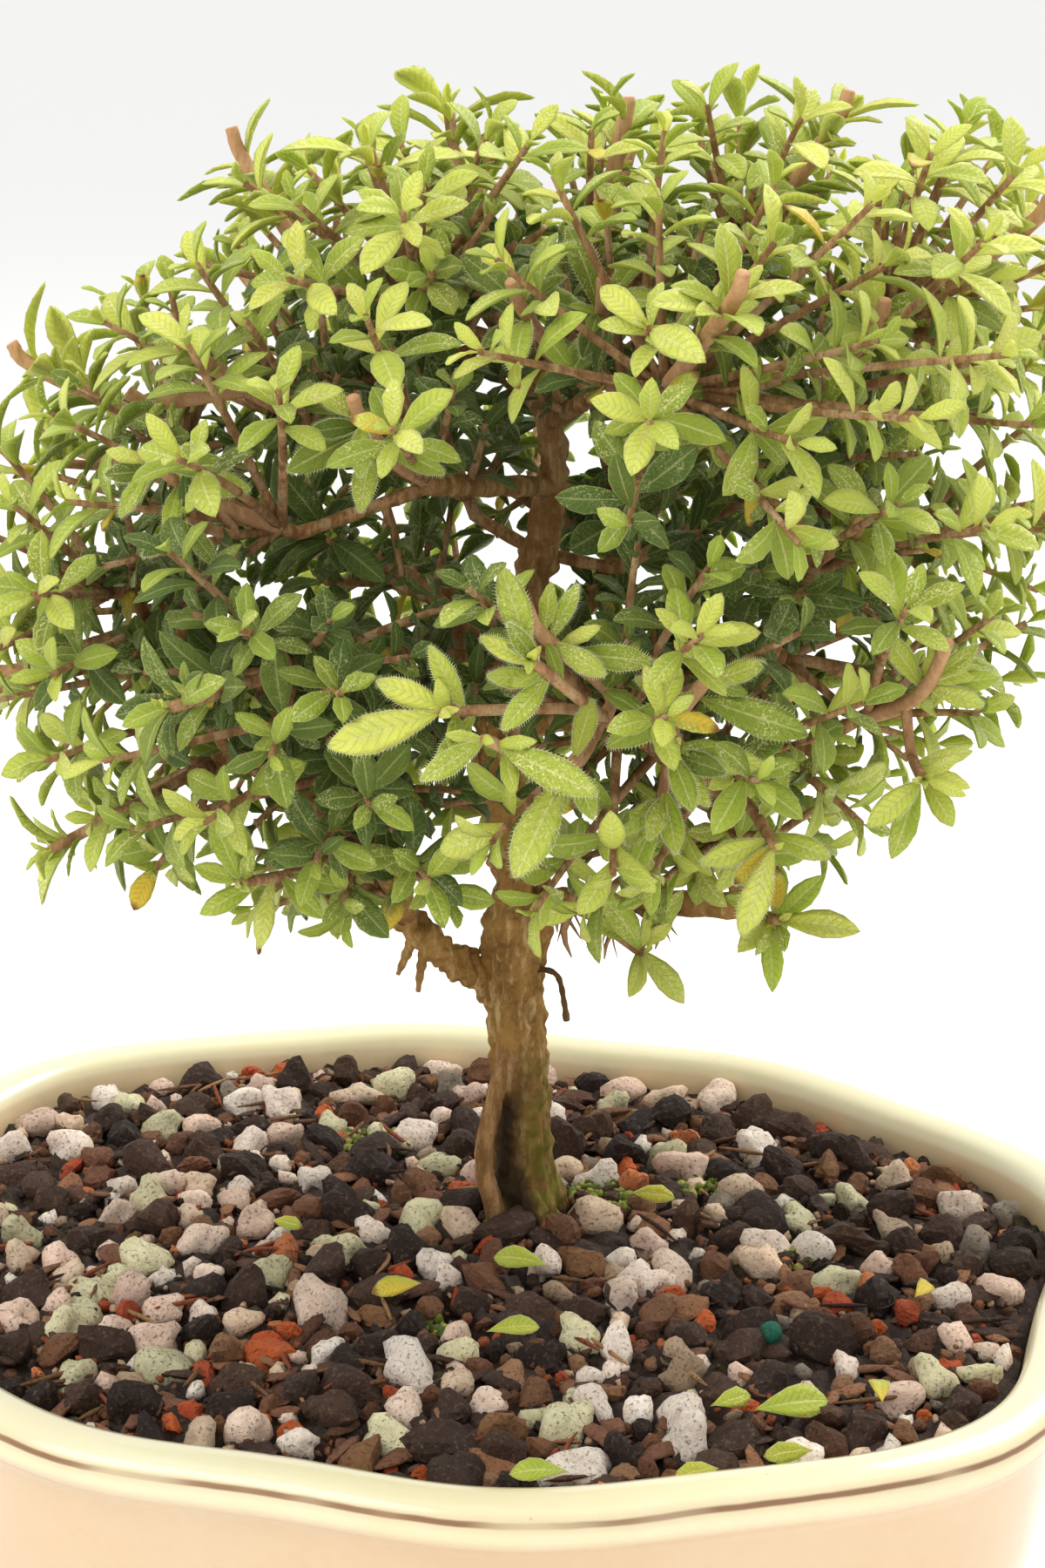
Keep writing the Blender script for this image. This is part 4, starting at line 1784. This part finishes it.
def make_inner_shoots(sprays, twigs, crowd):
    """Thin shoots from the nearest wood to places on shells inside the crown, each a quadratic
    Bezier line, with small, round and dark leaves inside and longer ones outside. Eight pieces
    share them by the direction in which they lie."""
    wood = [*(path for path, _ in twigs), TRUNK[6:, :3], *([p[:3] for p in limb] for limb in LIMBS)]
    wood = np.vstack([smooth_path(path, 3.0) for path in wood])
    heaps = [Heap() for _ in range(SHOOT_PIECES)]
    for ident, at, shell, count in inner_places(sprays):
        cost = np.linalg.norm(wood - at, axis=1) + 0.35 * np.maximum(wood[:, 2] - at[2], 0) \
            + 0.2 * np.linalg.norm(wood - CORE, axis=1)
        begin = wood[int(np.argmin(cost))]
        middle = mix(begin, at, 0.55) - unit(at - CORE) * 2 + UP * 2.5 * (draw(ident, 122) - 0.3)
        path = bezier(begin, middle, at, np.linspace(0, 1, SHOOT_POINTS)[:, None])
        turn = math.atan2(at[1] - 5, at[0] - 7) / TURN + 0.5
        heap = heaps[int(turn * (SHOOT_PIECES - 0.001))]
        tube(heap, path, np.linspace(0.75, 0.42, SHOOT_POINTS), SHOOT_SIDES, slot=1,
             kind=(0, 0.75, 0), **NO_LEAF)
        leaves = shoot_leaves(crowd, begin, middle, at, ident, shell, count)
        if leaves:
            add_leaves(heap, leaves, kind=(0, 0, 0))
    for n, heap in enumerate(heaps):
        made = heap.build(f"inner_shoots_{n + 1}", LEAF, TWIG)


HAIR_STEPS = 30
# A hair's faces when its tip lies on the outer side of its base, out of its corners 0, 1, 2 and 3.
HAIR_FACES = np.array([[0, 2, 1], [0, 1, 3], [1, 2, 3], [2, 0, 3]])


def make_hairs(leaves):
    """Short pale hairs along the margins of the nearest leaves: thin three-sided spikes."""
    points, _ = leaf_mesh(leaves)
    rows, columns = len(FINE_LEAF["rows"]), len(FINE_LEAF["across"])
    margins = points[:, :rows * columns].reshape(len(leaves), rows, columns, 3)
    along = np.array([leaf["along"] for leaf in leaves])[:, None]
    top = np.array([leaf["top"] for leaf in leaves])[:, None]
    share = (np.arange(HAIR_STEPS) + 0.5) / HAIR_STEPS * (rows - 0.2) + 0.1
    low = np.floor(share).astype(int)
    ident = np.arange(len(leaves))[:, None] * HAIR_STEPS + np.arange(HAIR_STEPS)[None]
    heap = Heap()
    for column, side in ((0, -1), (columns // 2, 1)):
        edge = np.concatenate([margins[:, :, column], points[:, -1:]], 1)
        at = mix(edge[:, low], edge[:, low + 1], (share - low)[None, :, None])
        lean = top * (0.5 * (draw(ident, 131) - 0.4))[..., None]
        way = unit(side * np.cross(along, top) + along * 0.7 + lean)
        root = at - way * 0.12
        tip = at + way * mix(0.3, 0.6, draw(ident, 132))[..., None]
        shells = np.stack([root + along * 0.06, root - along * 0.04 + top * 0.05,
                           root - along * 0.04 - top * 0.05, tip], 2).reshape(-1, 4, 3)
        a, b, c = (shells[:, k] - shells[:, 0] for k in (1, 2, 3))
        volume = np.einsum("ni,ni->n", np.cross(a, b), c)
        faces = np.where((volume > 0)[:, None, None], HAIR_FACES, HAIR_FACES[:, ::-1])
        faces = (faces + 4 * np.arange(len(shells))[:, None, None]).reshape(-1, 3)
        heap.add(shells, faces.tolist())
    made = heap.build("leaf_hairs", HAIR, smooth=False)


# ---------------------------------------------------------------- assembly

def make_tree():
    """Grows the wood, takes up its room, and hangs the foliage on it."""
    sprays = all_sprays()
    wood = Wood()
    chains = wood.grow(sprays)
    inner = inner_sprays(sprays, wood.paths(chains))
    chains += wood.grow(inner)
    twigs = wood.twigs(chains)
    sprays += inner
    crowd = Crowd()
    for path, radii in twigs:
        crowd.add_stem(path, radii, -1)
    for limb in LIMBS:
        limb = np.array(limb, float)
        crowd.add_stem(limb[:, :3], limb[:, 3], -1)
    crowd.add_stem(TRUNK[:, :3], TRUNK[:, 3] + 0.4, -1)
    for number, spray in enumerate(sprays):
        for i, tuft in enumerate(spray["tufts"]):
            crowd.add_stem(*stem_run(tuft, i), number)
    make_trunk(twigs)
    front = make_sprays(sprays, crowd)
    make_inner_shoots(sprays, twigs, crowd)
    make_hairs(front)


def make_camera():
    """The camera that the picture places above are worked out for."""
    camera = bpy.data.cameras.new("camera")
    camera.sensor_width = SENSOR
    camera.lens = CAMERA_FOCUS * SENSOR / PICTURE_HEIGHT
    camera.clip_start, camera.clip_end = 0.01, 100
    made = bpy.data.objects.new("camera", camera)
    made.location = CAMERA_PLACE * 0.001
    made.rotation_euler = (math.pi / 2 - CAMERA_DIP, 0, CAMERA_HEADING)
    bpy.context.scene.collection.objects.link(made)
    bpy.context.scene.camera = made


FLOOR_REACH = 40000.0
AIM = Vector((0.0, 0.0, 0.12))
# Each light's name, place, size, power and colour.
LIGHTS = (("broad_left", (-0.5, -0.5, 0.9), 0.7, 4.5, (1.0, 0.98, 0.95)),
          ("broad_back", (0.35, 0.6, 0.8), 0.6, 6.5, (1.0, 0.98, 0.94)))


def add_light(name, place, size, power, colour):
    """A round soft light aimed at the tree."""
    light = bpy.data.lights.new(name, "AREA")
    light.shape, light.size, light.energy, light.color = "DISK", size, power, colour
    made = bpy.data.objects.new(name, light)
    made.location = place
    made.rotation_euler = (AIM - Vector(place)).to_track_quat("-Z", "Y").to_euler()
    bpy.context.scene.collection.objects.link(made)


def make_studio():
    """A wide white floor, white surroundings and two broad soft lights."""
    material, g, shader = new_material("studio_white")
    g.feed(shader, {"Base Color": (0.93, 0.93, 0.92, 1), "Roughness": 0.9})
    points = np.array([[-1, -1, 0], [1, -1, 0], [1, 1, 0], [-1, 1, 0]], float) * FLOOR_REACH
    floor = new_object("studio_floor", points, [[0, 1, 2, 3]], [material])
    floor.parent = None
    world = bpy.data.worlds.new("studio")
    world.use_nodes = True
    surroundings = world.node_tree.nodes["Background"]
    surroundings.inputs[0].default_value = (1, 1, 1, 1)
    surroundings.inputs[1].default_value = 0.97
    bpy.context.scene.world = world
    for light in LIGHTS:
        add_light(*light)
    bpy.context.scene.view_settings.view_transform = "Standard"


for node in ("drain_screen_left", "drain_screen_right"):
    frame["nodes"][node].data.materials.clear()
    frame["nodes"][node].data.materials.append(PLASTIC)

make_pot()
make_soil_bed()
make_granules()
make_litter()
make_fallen_leaves()
make_tree()
make_camera()
make_studio()
